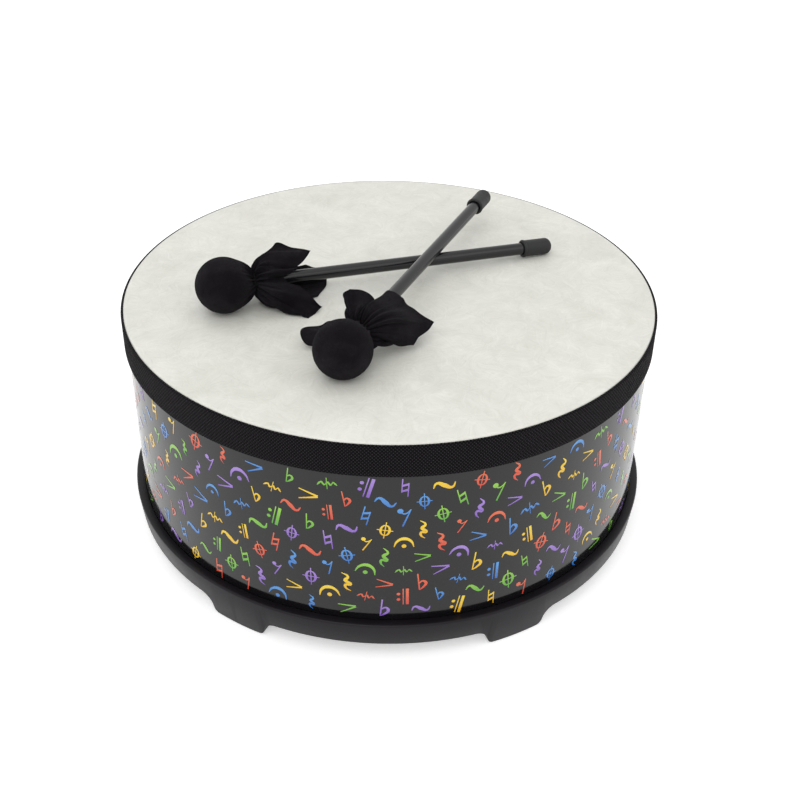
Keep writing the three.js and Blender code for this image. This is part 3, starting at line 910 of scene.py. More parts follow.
# %% [markdown]
# A moulding has no knife edges. A Bevel modifier with an angle limit takes 0.6 mm off what the cuts
# left sharp, and shading by angle keeps the broad faces flat beside it.

# %% Soften the edges
apply_modifier(
    base, "BEVEL", width=0.6 * mm, segments=2, limit_method="ANGLE", angle_limit=math.radians(40)
)
smooth(base, 35)
print(base.name, "has", len(base.data.polygons), "faces with its soft edges")

# %% [markdown]
# The moulding is black with a satin skin: dark from above and clearly lighter along the sides,
# where the pale floor is reflected at a flat angle. A roughness of about two fifths does that. The
# fine grain of the mould breaks the reflection up, and a little dust lies in it.

# %% Finish: satin moulding
satin_black, tree, shader = new_material("satin_moulding", IOR=1.3)
skin = use_group(
    tree, moulded_grain, {"Vector": object_coordinates(tree), "Grain per metre": 1500.0}
)
worn = mix_colours(tree, skin["Patches"], (0.0056, 0.0045, 0.006, 1), (0.0095, 0.0075, 0.0105, 1))
dust = times(tree, skin["Dust"], 0.3)
wire(
    tree, shader,
    Base_Color=mix_colours(tree, dust, worn, (0.09, 0.09, 0.085, 1)),
    Roughness=remap(tree, skin["Patches"], 0, 1, 0.36, 0.46),
    Normal=bump(tree, skin["Grain"], 0.00012, 0.35),
)
dress(base, satin_black, "base_moulding", "drum", "base_ring")

# %% [markdown]
# The wrap is printed in many colours on black. The print is generic: plain signs of music notation,
# such as rests, pauses and repeat marks, in five colours. An image would be the usual way to print
# a wrap, but this script reads none, so each sign is drawn once as strokes of ink. A stroke is a
# bezier curve that is widened into a flat ribbon: a half width at each of its points lets it swell
# and thin like a pen.

# %% Helpers for drawing signs
pen_width = 0.8
stroke_steps = 4
short_stroke_steps = 3
dot_sides = 14
sign_span = 16 * mm


def ink_stroke(points, closed=False):
    """A flat ribbon through points of (x, y, half width), all in mm."""
    curve = bpy.data.curves.new("stroke", "CURVE")
    curve.dimensions = "3D"
    curve.twist_mode = "Z_UP"
    curve.extrude = 1 * mm
    curve.resolution_u = stroke_steps if len(points) > 2 else short_stroke_steps
    spline = curve.splines.new("BEZIER")
    spline.use_cyclic_u = closed
    spline.bezier_points.add(len(points) - 1)
    for knot, (x, y, half_width) in zip(spline.bezier_points, points):
        knot.co = (x * mm, y * mm, 0)
        knot.radius = half_width * pen_width
        knot.tilt = math.pi / 2
        knot.handle_left_type = knot.handle_right_type = "AUTO"
    stroke = bpy.data.objects.new("stroke", curve)
    bpy.context.scene.collection.objects.link(stroke)
    return stroke


def ink_dot(x, y, radius):
    bpy.ops.mesh.primitive_circle_add(
        vertices=dot_sides, radius=radius * mm, fill_type="NGON", location=(x * mm, y * mm, 0)
    )
    bpy.ops.object.transform_apply(location=True, rotation=False, scale=False)
    return bpy.context.object

# %% [markdown]
# A sign is made of its strokes and dots, which are turned from curves into meshes and joined. Some
# faces of a ribbon come out looking down, so those are flipped. The sign's own map holds the place
# of each point within the sign, because the ink will change its shade from top to foot.

# %% Helpers for whole signs
def draw_sign(name, strokes, dots=(), rings=()):
    """One flat sign in the XY plane about the origin, facing +Z, with a map of its own."""
    parts = [ink_stroke(points) for points in strokes]
    parts += [ink_stroke(points, closed=True) for points in rings]
    pick(*parts)
    bpy.ops.object.convert(target="MESH")
    parts += [ink_dot(*dot) for dot in dots]
    pick(*parts)
    if len(parts) > 1:
        bpy.ops.object.join()
    sign = bpy.context.object
    sign.name = sign.data.name = name
    bpy.ops.object.mode_set(mode="EDIT")
    bpy.ops.mesh.select_mode(type="FACE")
    leave_edit_mode(sign)
    for face in sign.data.polygons:
        face.select = face.normal.z < 0
    bpy.ops.object.mode_set(mode="EDIT")
    bpy.ops.mesh.flip_normals()
    leave_edit_mode(sign)
    while sign.data.uv_layers:
        sign.data.uv_layers.remove(sign.data.uv_layers[0])
    shade = sign.data.uv_layers.new(name="ink_shade")
    for loop in sign.data.loops:
        place = sign.data.vertices[loop.vertex_index].co
        shade.data[loop.index].uv = (place.x / sign_span + 0.5, place.y / sign_span + 0.5)
    print(name, [round(size / mm, 1) for size in sign.dimensions], len(sign.data.polygons), "faces")
    return sign


def bar(x0, y0, x1, y1, half_width):
    return [(x0, y0, half_width), (x1, y1, half_width)]

# %% [markdown]
# Ten signs are drawn, each about 15 mm tall or wide. Curved strokes are written out point by point
# and straight ones as bars. A sign is always the same shape here. What makes the print lively is
# the way that the signs are turned and mixed later.

# %% Draw ten signs
signs = [
    draw_sign("crotchet_rest", [[
        (-1.8, 7.5, 0.3), (1.4, 4.0, 1.0), (-0.9, 1.2, 1.6), (1.9, -2.4, 0.8), (-1.6, -2.2, 1.2),
        (-1.9, -4.6, 0.9), (0.6, -7.4, 0.25),
    ]]),
    draw_sign("natural", [
        bar(-2.2, 7.5, -2.2, -4.2, 0.5), bar(2.2, 4.2, 2.2, -7.5, 0.5),
        bar(-2.2, 1.5, 2.2, 3.1, 1.1), bar(-2.2, -3.1, 2.2, -1.5, 1.1),
    ]),
    draw_sign("flat", [bar(-1.9, 8.0, -1.9, -5.6, 0.55), [
        (-1.9, -0.4, 0.5), (0.6, 1.6, 0.9), (2.6, -0.4, 1.3), (0.6, -3.6, 0.9), (-1.9, -5.6, 0.35),
    ]]),
    draw_sign("pause", [[
        (-6.6, -2.6, 0.35), (-4.7, 2.2, 1.1), (0, 4.6, 1.7), (4.7, 2.2, 1.1), (6.6, -2.6, 0.35),
    ]], dots=[(0, -1.8, 1.6)]),
    draw_sign("coda", [bar(0, 7.6, 0, -7.6, 0.5), bar(-6, 0, 6, 0, 0.5)], rings=[[
        (3.3, 0, 1.2), (0, 4.7, 0.6), (-3.3, 0, 1.2), (0, -4.7, 0.6),
    ]]),
    draw_sign("repeat", [bar(2.9, 7, 2.9, -7, 1.25), bar(0.2, 7, 0.2, -7, 0.45)],
              dots=[(-2.9, 2.4, 1.25), (-2.9, -2.4, 1.25)]),
    draw_sign("accent", [
        [(-6, 3.8, 0.45), (6, 0.2, 0.95)], [(-6, -3.8, 0.45), (6, -0.2, 0.95)],
    ]),
    draw_sign("quaver_rest", [
        [(-2.8, 2.9, 0.5), (0.2, 1.9, 0.7), (3.3, 4.9, 0.35)],
        [(3.4, 5.2, 0.45), (-0.8, -7.5, 0.7)],
    ], dots=[(-2.7, 3.8, 1.8)]),
    draw_sign("turn", [[
        (-6.8, -0.8, 0.4), (-4.4, 2.6, 1.1), (0, 0, 2.0), (4.4, -2.6, 1.1), (6.8, 0.8, 0.4),
    ]]),
    draw_sign("mordent", [
        [(-6.6, -1.6, 0.3), (-5.0, 0.2, 0.9), (-3.6, 1.5, 0.45)],
        bar(-3.6, 1.5, -1.6, -1.5, 0.85), bar(-1.6, -1.5, 0.6, 1.5, 0.45),
        bar(0.6, 1.5, 2.6, -1.5, 0.85), bar(2.6, -1.5, 4.4, 1.5, 0.45),
        [(4.4, 1.5, 0.45), (5.6, 0.0, 0.9), (6.8, -1.2, 0.3)], bar(0, 4.6, 0, -4.6, 0.35),
    ]),
]
print(len(signs), "signs drawn")

# %% [markdown]
# The signs go round the wrap in upright columns, and every second column stands half a step higher,
# so that no sign has another right beside it. Each copy gets its own size and tilt, worked out from
# its place in the pattern. The copies of one colour are joined into one piece. They lie just off
# the laminate, as a layer of ink does, so that the two surfaces never flicker into each other.

# %% Print the signs round the wrap
sign_columns = 98
sign_rows = 5
first_row = 44 * mm
row_step = 24 * mm
ink_lift = 0.13 * mm
ink_names = ("coral", "yellow", "violet", "green", "blue")


def printed_copy(sign, column, row):
    """A copy of a sign with its size and tilt, bent round the wrap at its place in the pattern."""
    height = first_row + (row + (column % 2) / 2) * row_step
    size = 0.88 + 0.045 * ((5 * column + 3 * row) % 7)
    tilt = math.radians((37 * column + 61 * row) % 31 - 15)
    copy = bpy.data.objects.new(sign.name, sign.data.copy())
    bpy.context.scene.collection.objects.link(copy)
    copy.data.transform(
        Matrix.Translation((0, height, 0)) @ Matrix.Rotation(tilt, 4, "Z") @ Matrix.Scale(size, 4)
    )
    azimuth = 2 * math.pi * column / sign_columns
    lay_round(copy.data, wrap_radius, wrap_radius + ink_lift, azimuth)
    return copy


printed = {ink: [] for ink in ink_names}
for column in range(sign_columns):
    for row in range(sign_rows):
        sign = signs[(3 * column + 4 * row + column // 7) % len(signs)]
        ink = ink_names[(2 * column + 3 * row + column // 5) % len(ink_names)]
        printed[ink].append(printed_copy(sign, column, row))
for sign in signs:
    bpy.data.objects.remove(sign)

for ink, copies in printed.items():
    pick(*copies)
    bpy.ops.object.join()
    joined = bpy.context.object
    joined.name = joined.data.name = f"{ink}_signs"
    printed[ink] = joined
    print(joined.name, len(copies), "signs")

# %% [markdown]
# The inks lie under the same clear laminate as the black ground, so they share its waves and wipe
# marks. Each colour deepens a little from the top of a sign to its foot, read from the sign's own
# map.

# %% Finish: the five inks
ink_colours = {
    "coral": ((0.82, 0.16, 0.06, 1), (0.66, 0.06, 0.035, 1)),
    "yellow": ((0.92, 0.68, 0.04, 1), (0.86, 0.46, 0.01, 1)),
    "violet": ((0.4, 0.25, 0.68, 1), (0.22, 0.1, 0.5, 1)),
    "green": ((0.3, 0.62, 0.06, 1), (0.1, 0.4, 0.04, 1)),
    "blue": ((0.1, 0.34, 0.75, 1), (0.025, 0.15, 0.52, 1)),
}
for ink, (top, foot) in ink_colours.items():
    material, tree, shader = new_material(f"{ink}_ink", IOR=1.5)
    marks = add_laminate_gloss(tree, shader)
    sign_map = map_coordinates(tree, "ink_shade")
    height = add_node(tree, "ShaderNodeSeparateXYZ", {0: sign_map}).outputs["Y"]
    grainy = math_node(tree, "MULTIPLY_ADD", marks["Grain"], 0.12, height)
    wire(tree, shader, Base_Color=mix_colours(tree, remap(tree, grainy, 0.15, 0.95), foot, top))
    dress(printed[ink], material, "wrap_print", "drum")

# %% [markdown]
# Each mallet is a rod with a rubber cap at one end and a cloth-covered ball at the other. It is
# modelled standing on its ball, along Z, with the middle of the ball at the origin. The boxes of
# the ball and of the rod give where that frame lies on the drum: both are symmetric, so the line
# between their middles is the mallet's own axis.

# %% Find the two mallets
def middle_of(node):
    low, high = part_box(node)
    return (low + high) / 2


def mallet_frame(name):
    """Matrix from the standing mallet to its place: X to the left, Y up, Z from ball to cap."""
    ball = middle_of(f"{name}_ball")
    along = (middle_of(f"{name}_rod") - ball).normalized()
    left = Vector((0, 0, 1)).cross(along).normalized()
    turn = Matrix((left, along.cross(left), along)).transposed().to_4x4()
    return Matrix.Translation(ball) @ turn


def lay_down(piece, place):
    """Give a standing piece its place on the drum, in its mesh."""
    pick(piece)
    piece.matrix_world = place
    bpy.ops.object.transform_apply(location=True, rotation=True, scale=True)


mallets = ("lower_mallet", "upper_mallet")
places = {name: mallet_frame(name) for name in mallets}
for name, place in places.items():
    axis = place.col[2]
    print(name, "heads", round(math.degrees(math.atan2(axis.y, axis.x)), 1), "degrees from +X,",
          "pitch", round(math.degrees(math.asin(axis.z)), 2))

# %% [markdown]
# The rod is a plain 3/8 inch bar with broken edges, and the cap is a moulded rubber cup with a bead
# round its mouth and a domed end. Both are spun from half outlines. The bead and the dome are arcs
# with enough steps to stay round in a close view.

# %% Model rods and caps
rod_radius = 4.76 * mm
rod_start = -8 * mm
rod_end = 268 * mm
rod_chamfer = 0.6 * mm
reach = 271 * mm
cap_radius = 6.5 * mm
cap_length = 26 * mm
cap_dome = 5.2 * mm
cap_bore = 5.06 * mm
cap_play = 0.3 * mm
cap_edge = 0.3 * mm
bead_radius = 7 * mm
bead_length = 2.5 * mm
bead_foot = (0.1 * mm, 0.8 * mm)
mallet_steps = 64

chamfered = rod_radius - rod_chamfer
rod_outline = [
    (0, rod_start), (chamfered, rod_start), (rod_radius, rod_start + rod_chamfer),
    (rod_radius, rod_end - rod_chamfer), (chamfered, rod_end), (0, rod_end),
]
mouth = reach - cap_length
bead_end = mouth + bead_length
bead_round = (bead_length / 2, bead_length / 2)
bead_centre = (bead_radius - bead_length / 2, mouth + bead_length / 2)
cap_outline = [
    (0, rod_end + cap_play), (cap_bore, rod_end + cap_play),
    (cap_bore, mouth + cap_edge), (cap_bore + cap_edge, mouth),
    *arc_points(bead_centre, bead_round, -90, 55, 7),
    (cap_radius + bead_foot[0], bead_end + bead_foot[0]), (cap_radius, bead_end + bead_foot[1]),
    *arc_points((0, reach - cap_dome), (cap_radius, cap_dome), 0, 90, 10)[:-1],
    (0, reach),
]
rods, caps = {}, {}
for name, place in places.items():
    rods[name] = spin_outline(f"{name}_black_rod", rod_outline, mallet_steps)
    caps[name] = spin_outline(f"{name}_end_cap", cap_outline, mallet_steps)
    for piece in (rods[name], caps[name]):
        smooth(piece, 35)
        lay_down(piece, place)

# %% [markdown]
# The rods are lacquered gloss black and the caps are dull rubber, side by side, so the two read
# apart only by their shine. Along a rod the lacquer has long faint streaks from rubbing, so its
# noise is stretched along the rod. Object coordinates have the drum's directions, and each rod
# lies at its own heading: a Mapping node turns them, and each rod gets its own material.

# %% Finish: lacquer and rubber
def lacquer_for(name, place):
    material, tree, shader = new_material(f"{name}_lacquer", IOR=1.46)
    turn = {"Rotation": (0, 0, -math.atan2(place.col[2].y, place.col[2].x))}
    turned = add_node(
        tree, "ShaderNodeMapping", {"Vector": object_coordinates(tree), **turn}
    ).outputs[0]
    stretched = vector_node(tree, "MULTIPLY", turned, (0.02, 1, 1))
    streaks = noise(tree, stretched, 700.0, detail=3.0)
    marks = use_group(tree, moulded_grain, {"Vector": turned, "Patches per metre": 35.0})
    rough = math_node(tree, "MULTIPLY_ADD", streaks, 0.12, 0.1)
    wire(
        tree, shader,
        Base_Color=mix_colours(tree, streaks, (0.004, 0.004, 0.005, 1), (0.011, 0.011, 0.013, 1)),
        Roughness=math_node(tree, "MULTIPLY_ADD", marks["Patches"], 0.08, rough),
        Normal=bump(tree, streaks, 0.00006, 0.5),
    )
    return material


def make_rubber(name, tint):
    """Dull rubber of a dark tint, paler where it is worn and dusty."""
    material, tree, shader = new_material(name, IOR=1.45)
    skin = use_group(tree, moulded_grain, {
        "Vector": object_coordinates(tree),
        "Grain per metre": 2400.0, "Patches per metre": 60.0,
    })
    worn = (*(2.2 * part for part in tint), 1)
    colour = mix_colours(tree, skin["Patches"], (*tint, 1), worn)
    dust = times(tree, skin["Dust"], 0.4)
    wire(
        tree, shader,
        Base_Color=mix_colours(tree, dust, colour, (0.08, 0.08, 0.078, 1)),
        Roughness=remap(tree, skin["Patches"], 0, 1, 0.5, 0.7),
        Normal=bump(tree, skin["Grain"], 0.0001, 0.5),
    )
    return material


cap_rubber = make_rubber("end_cap_rubber", (0.008, 0.008, 0.0085))
for name, place in places.items():
    dress(rods[name], lacquer_for(name, place), "mallet_rod", name, f"{name}_rod")
    dress(caps[name], cap_rubber, "cap_rubber", name, f"{name}_grip_cap")

# %% [markdown]
# The cover of a mallet head is one square of thin black cotton, 132 mm wide. Its middle is pulled
# smooth over the rubber ball, a thread gathers it behind the ball, and its four corners stand out
# as folded tails. A simulation could drop a square over a ball and tie it, but it would fold where
# it likes, and the tails here have to lie as they do in the photograph. So the hem is listed point
# by point: a closed line of points round the rod, from tail to tail. Every point has an angle round
# the rod (0 to its left, 90 upwards), a reach off the axis in mm, and how far along the rod it
# lies.
# The cloth folds softly at a point, unless it is marked: at a valley it hugs the rod, and at a
# corner it turns sharply. Where the angles run back, the cloth is folded under itself.

# %% Write down the hems
lower_hem = [
    (10, 8, 42, "valley"), (20, 14, 52), (32, 17, 62), (34, 22, 52), (26, 18, 41), (34, 24, 42),
    (41, 30, 47), (47, 23, 58), (50, 17, 70, "corner"), (60, 13, 66), (85, 8.5, 58),
    (104, 7.5, 48, "valley"), (118, 14, 54), (132, 14, 50), (150, 8, 44, "valley"), (180, 15, 54),
    (200, 23, 62), (211, 29, 68, "corner"), (208, 38, 55, "corner"), (219, 26, 42), (230, 22, 42),
    (219, 28, 52), (217, 26, 63), (233, 20, 60), (250, 15, 46, "valley"), (256, 18, 62),
    (257, 18, 72, "corner"), (285, 17, 80), (312, 22, 86), (337, 22, 85, "corner"), (346, 20, 76),
    (352, 12, 56),
]
upper_hem = [
    (28, 8, 38, "valley"), (38, 15, 46), (50, 19, 48), (51, 23, 38), (47, 20, 32), (57, 27, 31),
    (63, 27, 40, "corner"), (68, 21, 48), (76, 12, 52), (84, 7.5, 50, "valley"),
    (92, 8, 73, "corner"), (125, 10, 75), (152, 15, 73), (172, 17, 71), (184, 27, 67),
    (191, 38, 71, "corner"), (194, 38, 62), (197, 35, 52, "corner"), (206, 34, 48, "corner"),
    (212, 26, 38), (221, 22, 40), (213, 27, 50), (208, 29, 61), (220, 20, 57),
    (245, 15, 38, "valley"), (262, 14, 38), (296, 20, 40), (316, 30, 36), (323, 32, 27),
    (312, 22, 25), (324, 27, 20), (338, 42, 18), (346, 46, 31), (351, 28, 32), (358, 14, 33),
]
print("hems of", len(lower_hem), "and", len(upper_hem), "points")

# %% [markdown]
# A smooth curve is run through the points of a hem and cut into several hundred even steps, one for
# each column of the cloth. A column starts at the neck at an angle of its own. From valley to
# valley that angle grows evenly with the length of the hem, so a long tail takes as many threads of
# the neck as it needs.

# %% Lay the hems
hem_columns = 440


def hem_point(row):
    turn = math.radians(row[0])
    return Vector((row[1] * math.cos(turn), row[1] * math.sin(turn), row[2])) * mm


def curve_point(start, end, leave, arrive, t):
    """A point at a share t of the way, on a curve with given speeds at its two ends."""
    return (
        (2 * t**3 - 3 * t**2 + 1) * start + (t**3 - 2 * t**2 + t) * leave
        + (3 * t**2 - 2 * t**3) * end + (t**3 - t**2) * arrive
    )


def lay_hem(rows):
    """Points of the hem at even steps, each with the angle at which its column leaves the neck."""
    points = [hem_point(row) for row in rows]
    count = len(rows)
    lengths = [(points[(i + 1) % count] - points[i]).length for i in range(count)]
    laid, travelled, valleys = [], 0.0, []
    for i, row in enumerate(rows):
        before, start, end, after = (points[(i + step) % count] for step in (-1, 0, 1, 2))
        leave = arrive = end - start
        if "corner" not in row:
            leave = (end - before).normalized() * lengths[i]
        if "corner" not in rows[(i + 1) % count]:
            arrive = (after - start).normalized() * lengths[i]
        if "valley" in row:
            valleys.append((travelled, row[0]))
        steps = max(3, round(hem_columns * lengths[i] / sum(lengths)))
        for t in (step / steps for step in range(steps)):
            laid.append((travelled + t * lengths[i], curve_point(start, end, leave, arrive, t)))
        travelled += lengths[i]
    valleys.append((valleys[0][0] + travelled, valleys[0][1] + 360))
    columns = []
    for gone, place in laid:
        if gone < valleys[0][0]:
            gone += travelled
        for (low, from_angle), (high, to_angle) in zip(valleys, valleys[1:]):
            if low <= gone <= high:
                angle = from_angle + (to_angle - from_angle) * (gone - low) / (high - low)
                columns.append((math.radians(angle), place))
                break
    return columns


hems = {"lower_mallet": lay_hem(lower_hem), "upper_mallet": lay_hem(upper_hem)}
for name, hem in hems.items():
    length = sum((hem[i][1] - hem[i - 1][1]).length for i in range(len(hem)))
    print(name, "hem", len(hem), "columns,", round(length / mm), "mm long")

# %% [markdown]
# Gathers run lengthwise through the neck: narrow ones that die away over the ball, and broader ones
# that open into the tails. Both are sums of sine waves of the angle at the neck, so that they line
# up on the two sides of the thread. Waves of different counts, one bent by another, keep the folds
# from looking counted.

# %% Draw the gathers
def gathers(turn):
    return (
        0.5 * math.sin(25 * turn + 1.3 * math.sin(3 * turn))
        + 0.3 * math.sin(17 * turn + 2) + 0.2 * math.sin(42 * turn + 0.7)
    )


def broad_folds(turn):
    return 0.7 * math.sin(9 * turn + 1.5 * math.sin(2 * turn)) + 0.3 * math.sin(14 * turn + 1.1)


def ease(value):
    """0 below 0 and 1 above 1, with a soft start and end between them."""
    value = min(1.0, max(0.0, value))
    return value * value * (3 - 2 * value)


print("gathers reach", round(max(gathers(step / 100) for step in range(628)), 2), "of their depth")

# %% [markdown]
# A column of the cloth runs from the tip of the ball over its equator to the neck, along the neck
# under the thread, and from there in a curve out to the hem. The pleats on the ball only stand
# outwards, in narrow ridges, because the ball is right under them. Those of the tails go both ways,
# so they are only noted here as a depth, and pushed out once the whole surface is known.

# %% Size the covers
ball_cover = 20.8 * mm
neck_radius = 6.5 * mm
neck_start = 19.7 * mm
neck_end = 23.4 * mm
ball_rows = 34
neck_rows = 4
tail_rows = 34
pleat_start = 1.85
ball_pleat = 1.0 * mm
neck_pleat = 0.35 * mm
tail_pleat = 2.1 * mm
tail_fold = 2.8 * mm

print("a column has", ball_rows + neck_rows + tail_rows, "rows, and its pleats start",
      round(math.degrees(pleat_start)), "degrees from the tip")

# %% Run a column from tip to hem
def ball_part(turn, out):
    """Round the ball, with ridges that rise from just behind its equator to the neck."""
    last = math.pi - math.asin(neck_radius / ball_cover)
    for row in range(1, ball_rows + 1):
        swept = last * row / ball_rows
        near_neck = ease((swept - pleat_start) / (last - pleat_start)) ** 1.6
        radius = ball_cover + near_neck * ball_pleat * (1 + gathers(turn)) ** 2
        yield out * radius * math.sin(swept) + Vector((0, 0, -radius * math.cos(swept))), 0.0


def neck_part(turn, out):
    radius = neck_radius + neck_pleat * gathers(turn)
    for row in range(1, neck_rows + 1):
        along = neck_start + (neck_end - neck_start) * row / neck_rows
        yield out * radius + Vector((0, 0, along)), 0.0


def tail_part(turn, out, start, hem_place):
    """A bezier curve that leaves the neck outwards and comes straight to the hem."""
    straight = hem_place - start
    span = straight.length
    leave = start + (Vector((0, 0, 1)) * 0.4 + out * 1.5) * span * 0.32
    arrive = hem_place - straight.normalized() * span * 0.35
    for row in range(1, tail_rows + 1):
        t = row / tail_rows
        place = (
            (1 - t) ** 3 * start + 3 * (1 - t) ** 2 * t * leave
            + 3 * (1 - t) * t**2 * arrive + t**3 * hem_place
        )
        opens = 0.5 + 0.5 * ease(t / 0.12)
        dies_away = 1 - 0.9 * ease((t - 0.15) / 0.5)
        fold = tail_fold * ease(t / 0.5) * broad_folds(turn)
        yield place, tail_pleat * opens * dies_away * gathers(turn) + fold


def cover_column(turn, hem_place):
    """Places from the tip of the ball to the hem, each with the depth of its pleat."""
    out = Vector((math.cos(turn), math.sin(turn), 0))
    column = [*ball_part(turn, out), *neck_part(turn, out)]
    return [*column, *tail_part(turn, out, column[-1][0], hem_place)]

# %% [markdown]
# A point is pushed out along the surface's own normal, which is the cross product of the two
# directions to its neighbours. After that it is kept off the rod and above the drumhead, because
# the tails of the lower mallet would otherwise sink into it.

# %% Push out the pleats
off_rod = rod_radius + 1.0 * mm
off_head = 0.45 * mm


def push_out_pleats(grid):
    count, rows = len(grid), len(grid[0])
    pleated = []
    for i, middle in enumerate(grid):
        left, right = grid[i - 1], grid[(i + 1) % count]
        column = []
        for k, (place, depth) in enumerate(middle):
            if depth:
                below, above = middle[k - 1][0], middle[min(k + 1, rows - 1)][0]
                normal = (right[k][0] - left[k][0]).cross(above - below)
                if normal.length > 0:
                    place = place + normal.normalized() * depth
            column.append(place)
        pleated.append(column)
    return pleated


def keep_clear(local, place):
    """The place on the drum of a point of the standing cloth, off the rod and off the head."""
    radius = math.hypot(local.x, local.y)
    if local.z > neck_start and radius < off_rod:
        local = Vector((local.x * off_rod / radius, local.y * off_rod / radius, local.z))
    seated = place @ local
    seated.z = max(seated.z, head_top + off_head)
    return seated


grids = {
    name: push_out_pleats([cover_column(turn, hem_place) for turn, hem_place in hem])
    for name, hem in hems.items()
}
print("grids of", [len(grid) * len(grid[0]) for grid in grids.values()], "points")

# %% [markdown]
# The grid becomes a mesh of quads, closed at the tip of the ball by triangles. Its map is the flat
# square as it was cut: each point lies as far from the middle as the cloth runs from the tip to it,
# in the direction of its column. The weave of the cloth follows that map.

# %% Make the covers
def make_cover(name, place, grid, hem):
    count, rows = len(grid), len(grid[0])
    tip = place @ Vector((0, 0, -ball_cover))
    points = [tip] + [keep_clear(point, place) for column in grid for point in column]
    faces = []
    for i in range(count):
        here, beside = 1 + i * rows, 1 + (i + 1) % count * rows
        faces.append((0, beside, here))
        for k in range(rows - 1):
            faces.append((here + k, beside + k, beside + k + 1, here + k + 1))
    mesh = bpy.data.meshes.new(f"{name}_head_cover")
    mesh.from_pydata(points, [], faces)
    cover = bpy.data.objects.new(f"{name}_head_cover", mesh)
    bpy.context.scene.collection.objects.link(cover)

    from_tip = [0.0] * len(points)
    for number in range(1, len(points)):
        before = number - 1 if (number - 1) % rows else 0
        from_tip[number] = from_tip[before] + (points[number] - points[before]).length
    cut_map = mesh.uv_layers.new(name="cut_cloth")
    for loop in mesh.loops:
        vertex = loop.vertex_index
        turn = hem[(vertex - 1) // rows][0] if vertex else 0.0
        away = from_tip[vertex]
        cut_map.data[loop.index].uv = (away * math.cos(turn), away * math.sin(turn))
    return cover


covers = {name: make_cover(name, places[name], grids[name], hems[name]) for name in mallets}
print("covers of", [len(cover.data.polygons) for cover in covers.values()], "faces")

# %% [markdown]
# The sheet gets its thickness inwards, so that its outside keeps the size of the covered ball, and
# its cut edge shows as a crisp thin line. Its area comes out short of the flat square's: what is
# missing lies in creases too tight to model, under the thread and close to the rod.

# %% Thicken the covers
cloth_thickness = 0.5 * mm

for name, cover in covers.items():
    apply_modifier(cover, "SOLIDIFY", thickness=cloth_thickness, offset=-1)
    smooth(cover, 50)

# %% [markdown]
# The cloth is the darkest thing in the picture: black cotton that swallows light, with a faint
# bloom of fuzz towards its edges. Sheen gives that bloom, and the shader's own gloss is turned
# almost off, because it would whiten every flap that lies at a flat angle. The weave group makes
# the fine grid of the threads from the cover's own map, darkening the gaps between the threads as
# painted shade, and a coarser grain over it stands for the small creases of worn cloth.

# %% Finish: black cloth
black_cloth, tree, shader = new_material(
    "black_cotton", Specular_IOR_Level=0.015, Sheen_Weight=0.035, Sheen_Roughness=0.32
)
thread_pitch = 0.55 * mm
threads = use_group(tree, plain_weave, {
    "Vector": map_coordinates(tree, "cut_cloth"), "Unevenness": 0.3,
    "Pitch along": thread_pitch, "Pitch across": thread_pitch,
})
lint = use_group(tree, moulded_grain, {
    "Vector": object_coordinates(tree), "Grain per metre": 900.0, "Patches per metre": 60.0,
})
# Painted shade: the colour darkens where the weave lies deep between the threads, and is lighter on
# the thread tops.
painted_gap_shade, thread_top_colour = (0.0038, 0.0032, 0.0041, 1), (0.0168, 0.0143, 0.0175, 1)
ground = mix_colours(tree, threads["Height"], painted_gap_shade, thread_top_colour)
tufts = remap(tree, times(tree, lint["Grain"], lint["Patches"]), 0.1, 0.5, 0, 0.7)
worn = mix_colours(tree, tufts, ground, (0.021, 0.0185, 0.022, 1))
fuzz = times(tree, lint["Dust"], 0.12)
relief = bump(tree, threads["Height"], 0.0002, 0.8)
wire(
    tree, shader,
    Base_Color=mix_colours(tree, fuzz, worn, (0.3, 0.3, 0.3, 1)),
    Roughness=remap(tree, threads["Height"], 0, 1, 0.95, 0.75),
    Normal=bump(tree, lint["Grain"], 0.0005, 0.6, normal=relief),
)
for name, cover in covers.items():
    dress(cover, black_cloth, "mallet_cloth", name, f"{name}_cloth")

# %% [markdown]
# The tie is one waxed thread, wound three times round the neck. A small circle, screwed round the
# axis by a Screw modifier, makes all three turns in one unbroken helix.

# %% Model the ties
tie_radius = 7.3 * mm
tie_thread = 0.5 * mm
tie_pitch = 1.05 * mm
tie_turns = 3
tie_steps = 48


def make_tie(name, place):
    low = (neck_start + neck_end - tie_turns * tie_pitch) / 2
    bpy.ops.object.select_all(action="DESELECT")
    bpy.ops.mesh.primitive_circle_add(
        vertices=10, radius=tie_thread, location=(tie_radius, 0, low), rotation=(math.pi / 2, 0, 0)
    )
    tie = bpy.context.object
    tie.name = tie.data.name = f"{name}_thread"
    bpy.ops.object.transform_apply(location=True, rotation=True, scale=True)
    apply_modifier(tie, "SCREW", steps=tie_steps, render_steps=tie_steps, iterations=tie_turns,
                   screw_offset=tie_pitch)
    bpy.ops.object.mode_set(mode="EDIT")
    close_open_ends()
    face_outwards()
    leave_edit_mode(tie)
    smooth(tie, 60)
    lay_down(tie, place)
    return tie


waxed_thread, tree, shader = new_material(
    "waxed_thread", Roughness=0.75, Specular_IOR_Level=0.12
)
ply = noise(tree, object_coordinates(tree), 1800.0)
wire(
    tree, shader,
    Base_Color=mix_colours(tree, ply, (0.003, 0.003, 0.0035, 1), (0.014, 0.014, 0.015, 1)),
    Normal=bump(tree, ply, 0.0002, 0.8),
)
for name, place in places.items():
    dress(make_tie(name, place), waxed_thread, "mallet_thread", name, f"{name}_tie")

# %% [markdown]
# The rest of the drum is hidden in the photograph and keeps its CAD shapes: the shell, the pads
# under the feet, the screws inside the base and the cores of the mallet heads. They are seen from
# below, or when the parts are taken apart, so they get real finishes too. The shell is pressed
# wood fibre, lighter where the fibres lie close, and its bare inside face is dull.

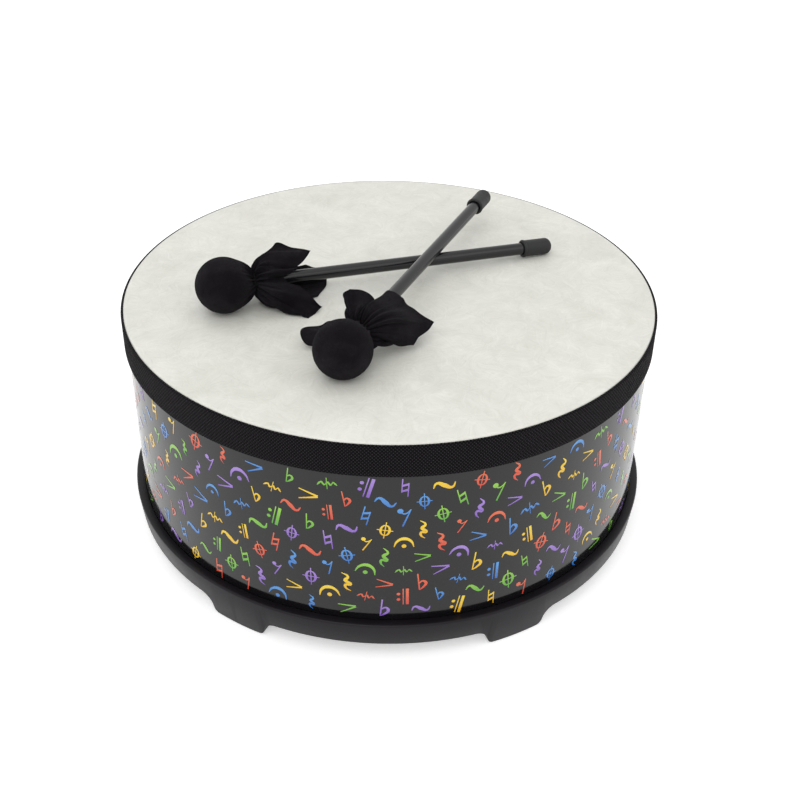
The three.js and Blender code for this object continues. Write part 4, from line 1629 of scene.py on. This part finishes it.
# %% Finish: wood-fibre board
fibre_board, tree, shader = new_material("wood_fibre_board", IOR=1.45)
fibres = use_group(tree, felted_fibres, {
    "Vector": object_coordinates(tree), "Fibres per metre": 900.0, "Stretch": 4.0,
})
ground = mix_colours(tree, fibres["Fibres"], (0.23, 0.135, 0.07, 1), (0.42, 0.28, 0.16, 1))
clouds = times(tree, fibres["Clouds"], 0.5)
wire(
    tree, shader,
    Base_Color=mix_colours(tree, clouds, ground, (0.33, 0.2, 0.11, 1)),
    Roughness=remap(tree, fibres["Fibres"], 0, 1, 0.85, 0.65),
    Normal=bump(tree, fibres["Fibres"], 0.0003, 0.6),
)
print(fibre_board.name, "has", len(tree.nodes), "nodes")

# %% [markdown]
# The screws are zinc plated: bright, slightly yellowed in patches, and dulled by the tumbling
# that plated screws go through. The pads are the soft kind of black rubber, and the ball cores are
# brown moulded rubber with a chalky bloom.

# %% Finish: zinc, pads and cores
zinc, tree, shader = new_material("zinc_plate", Metallic=1.0)
plate = use_group(tree, moulded_grain, {
    "Vector": object_coordinates(tree), "Grain per metre": 5000.0, "Patches per metre": 400.0,
})
bright, yellowed = (0.55, 0.55, 0.56, 1), (0.62, 0.58, 0.48, 1)
wire(
    tree, shader,
    Base_Color=mix_colours(tree, plate["Patches"], bright, yellowed),
    Roughness=remap(tree, plate["Patches"], 0, 1, 0.28, 0.45),
    Normal=bump(tree, plate["Grain"], 0.00005, 0.4),
)
pad_rubber = make_rubber("soft_pad_rubber", (0.012, 0.012, 0.0125))
core_rubber = make_rubber("ball_core_rubber", (0.11, 0.085, 0.065))


def finish_nodes(material, *names):
    for name in names:
        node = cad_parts[name]
        node.data.materials.clear()
        node.data.materials.append(material)
        print(name, "gets", material.name)


numbers = range(1, foot_count + 1)
finish_nodes(fibre_board, "shell")
finish_nodes(zinc, *(f"base_screw_{number}" for number in numbers))
finish_nodes(pad_rubber, *(f"foot_pad_{number}" for number in numbers))
finish_nodes(core_rubber, *(f"{name}_ball" for name in mallets))

# %% [markdown]
# The construction's box and the box of everything that shows are both printed. Cloth may stand a
# little proud of the frame, and nothing else should.

# %% Print the sizes
visual_low, visual_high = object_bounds()
sizes = {
    "cad": [list(cad_low), list(cad_high)],
    "visual": [list(visual_low), list(visual_high)],
}
for name, (low, high) in sizes.items():
    print(name, [round(value / mm, 1) for value in (*low, *high)])
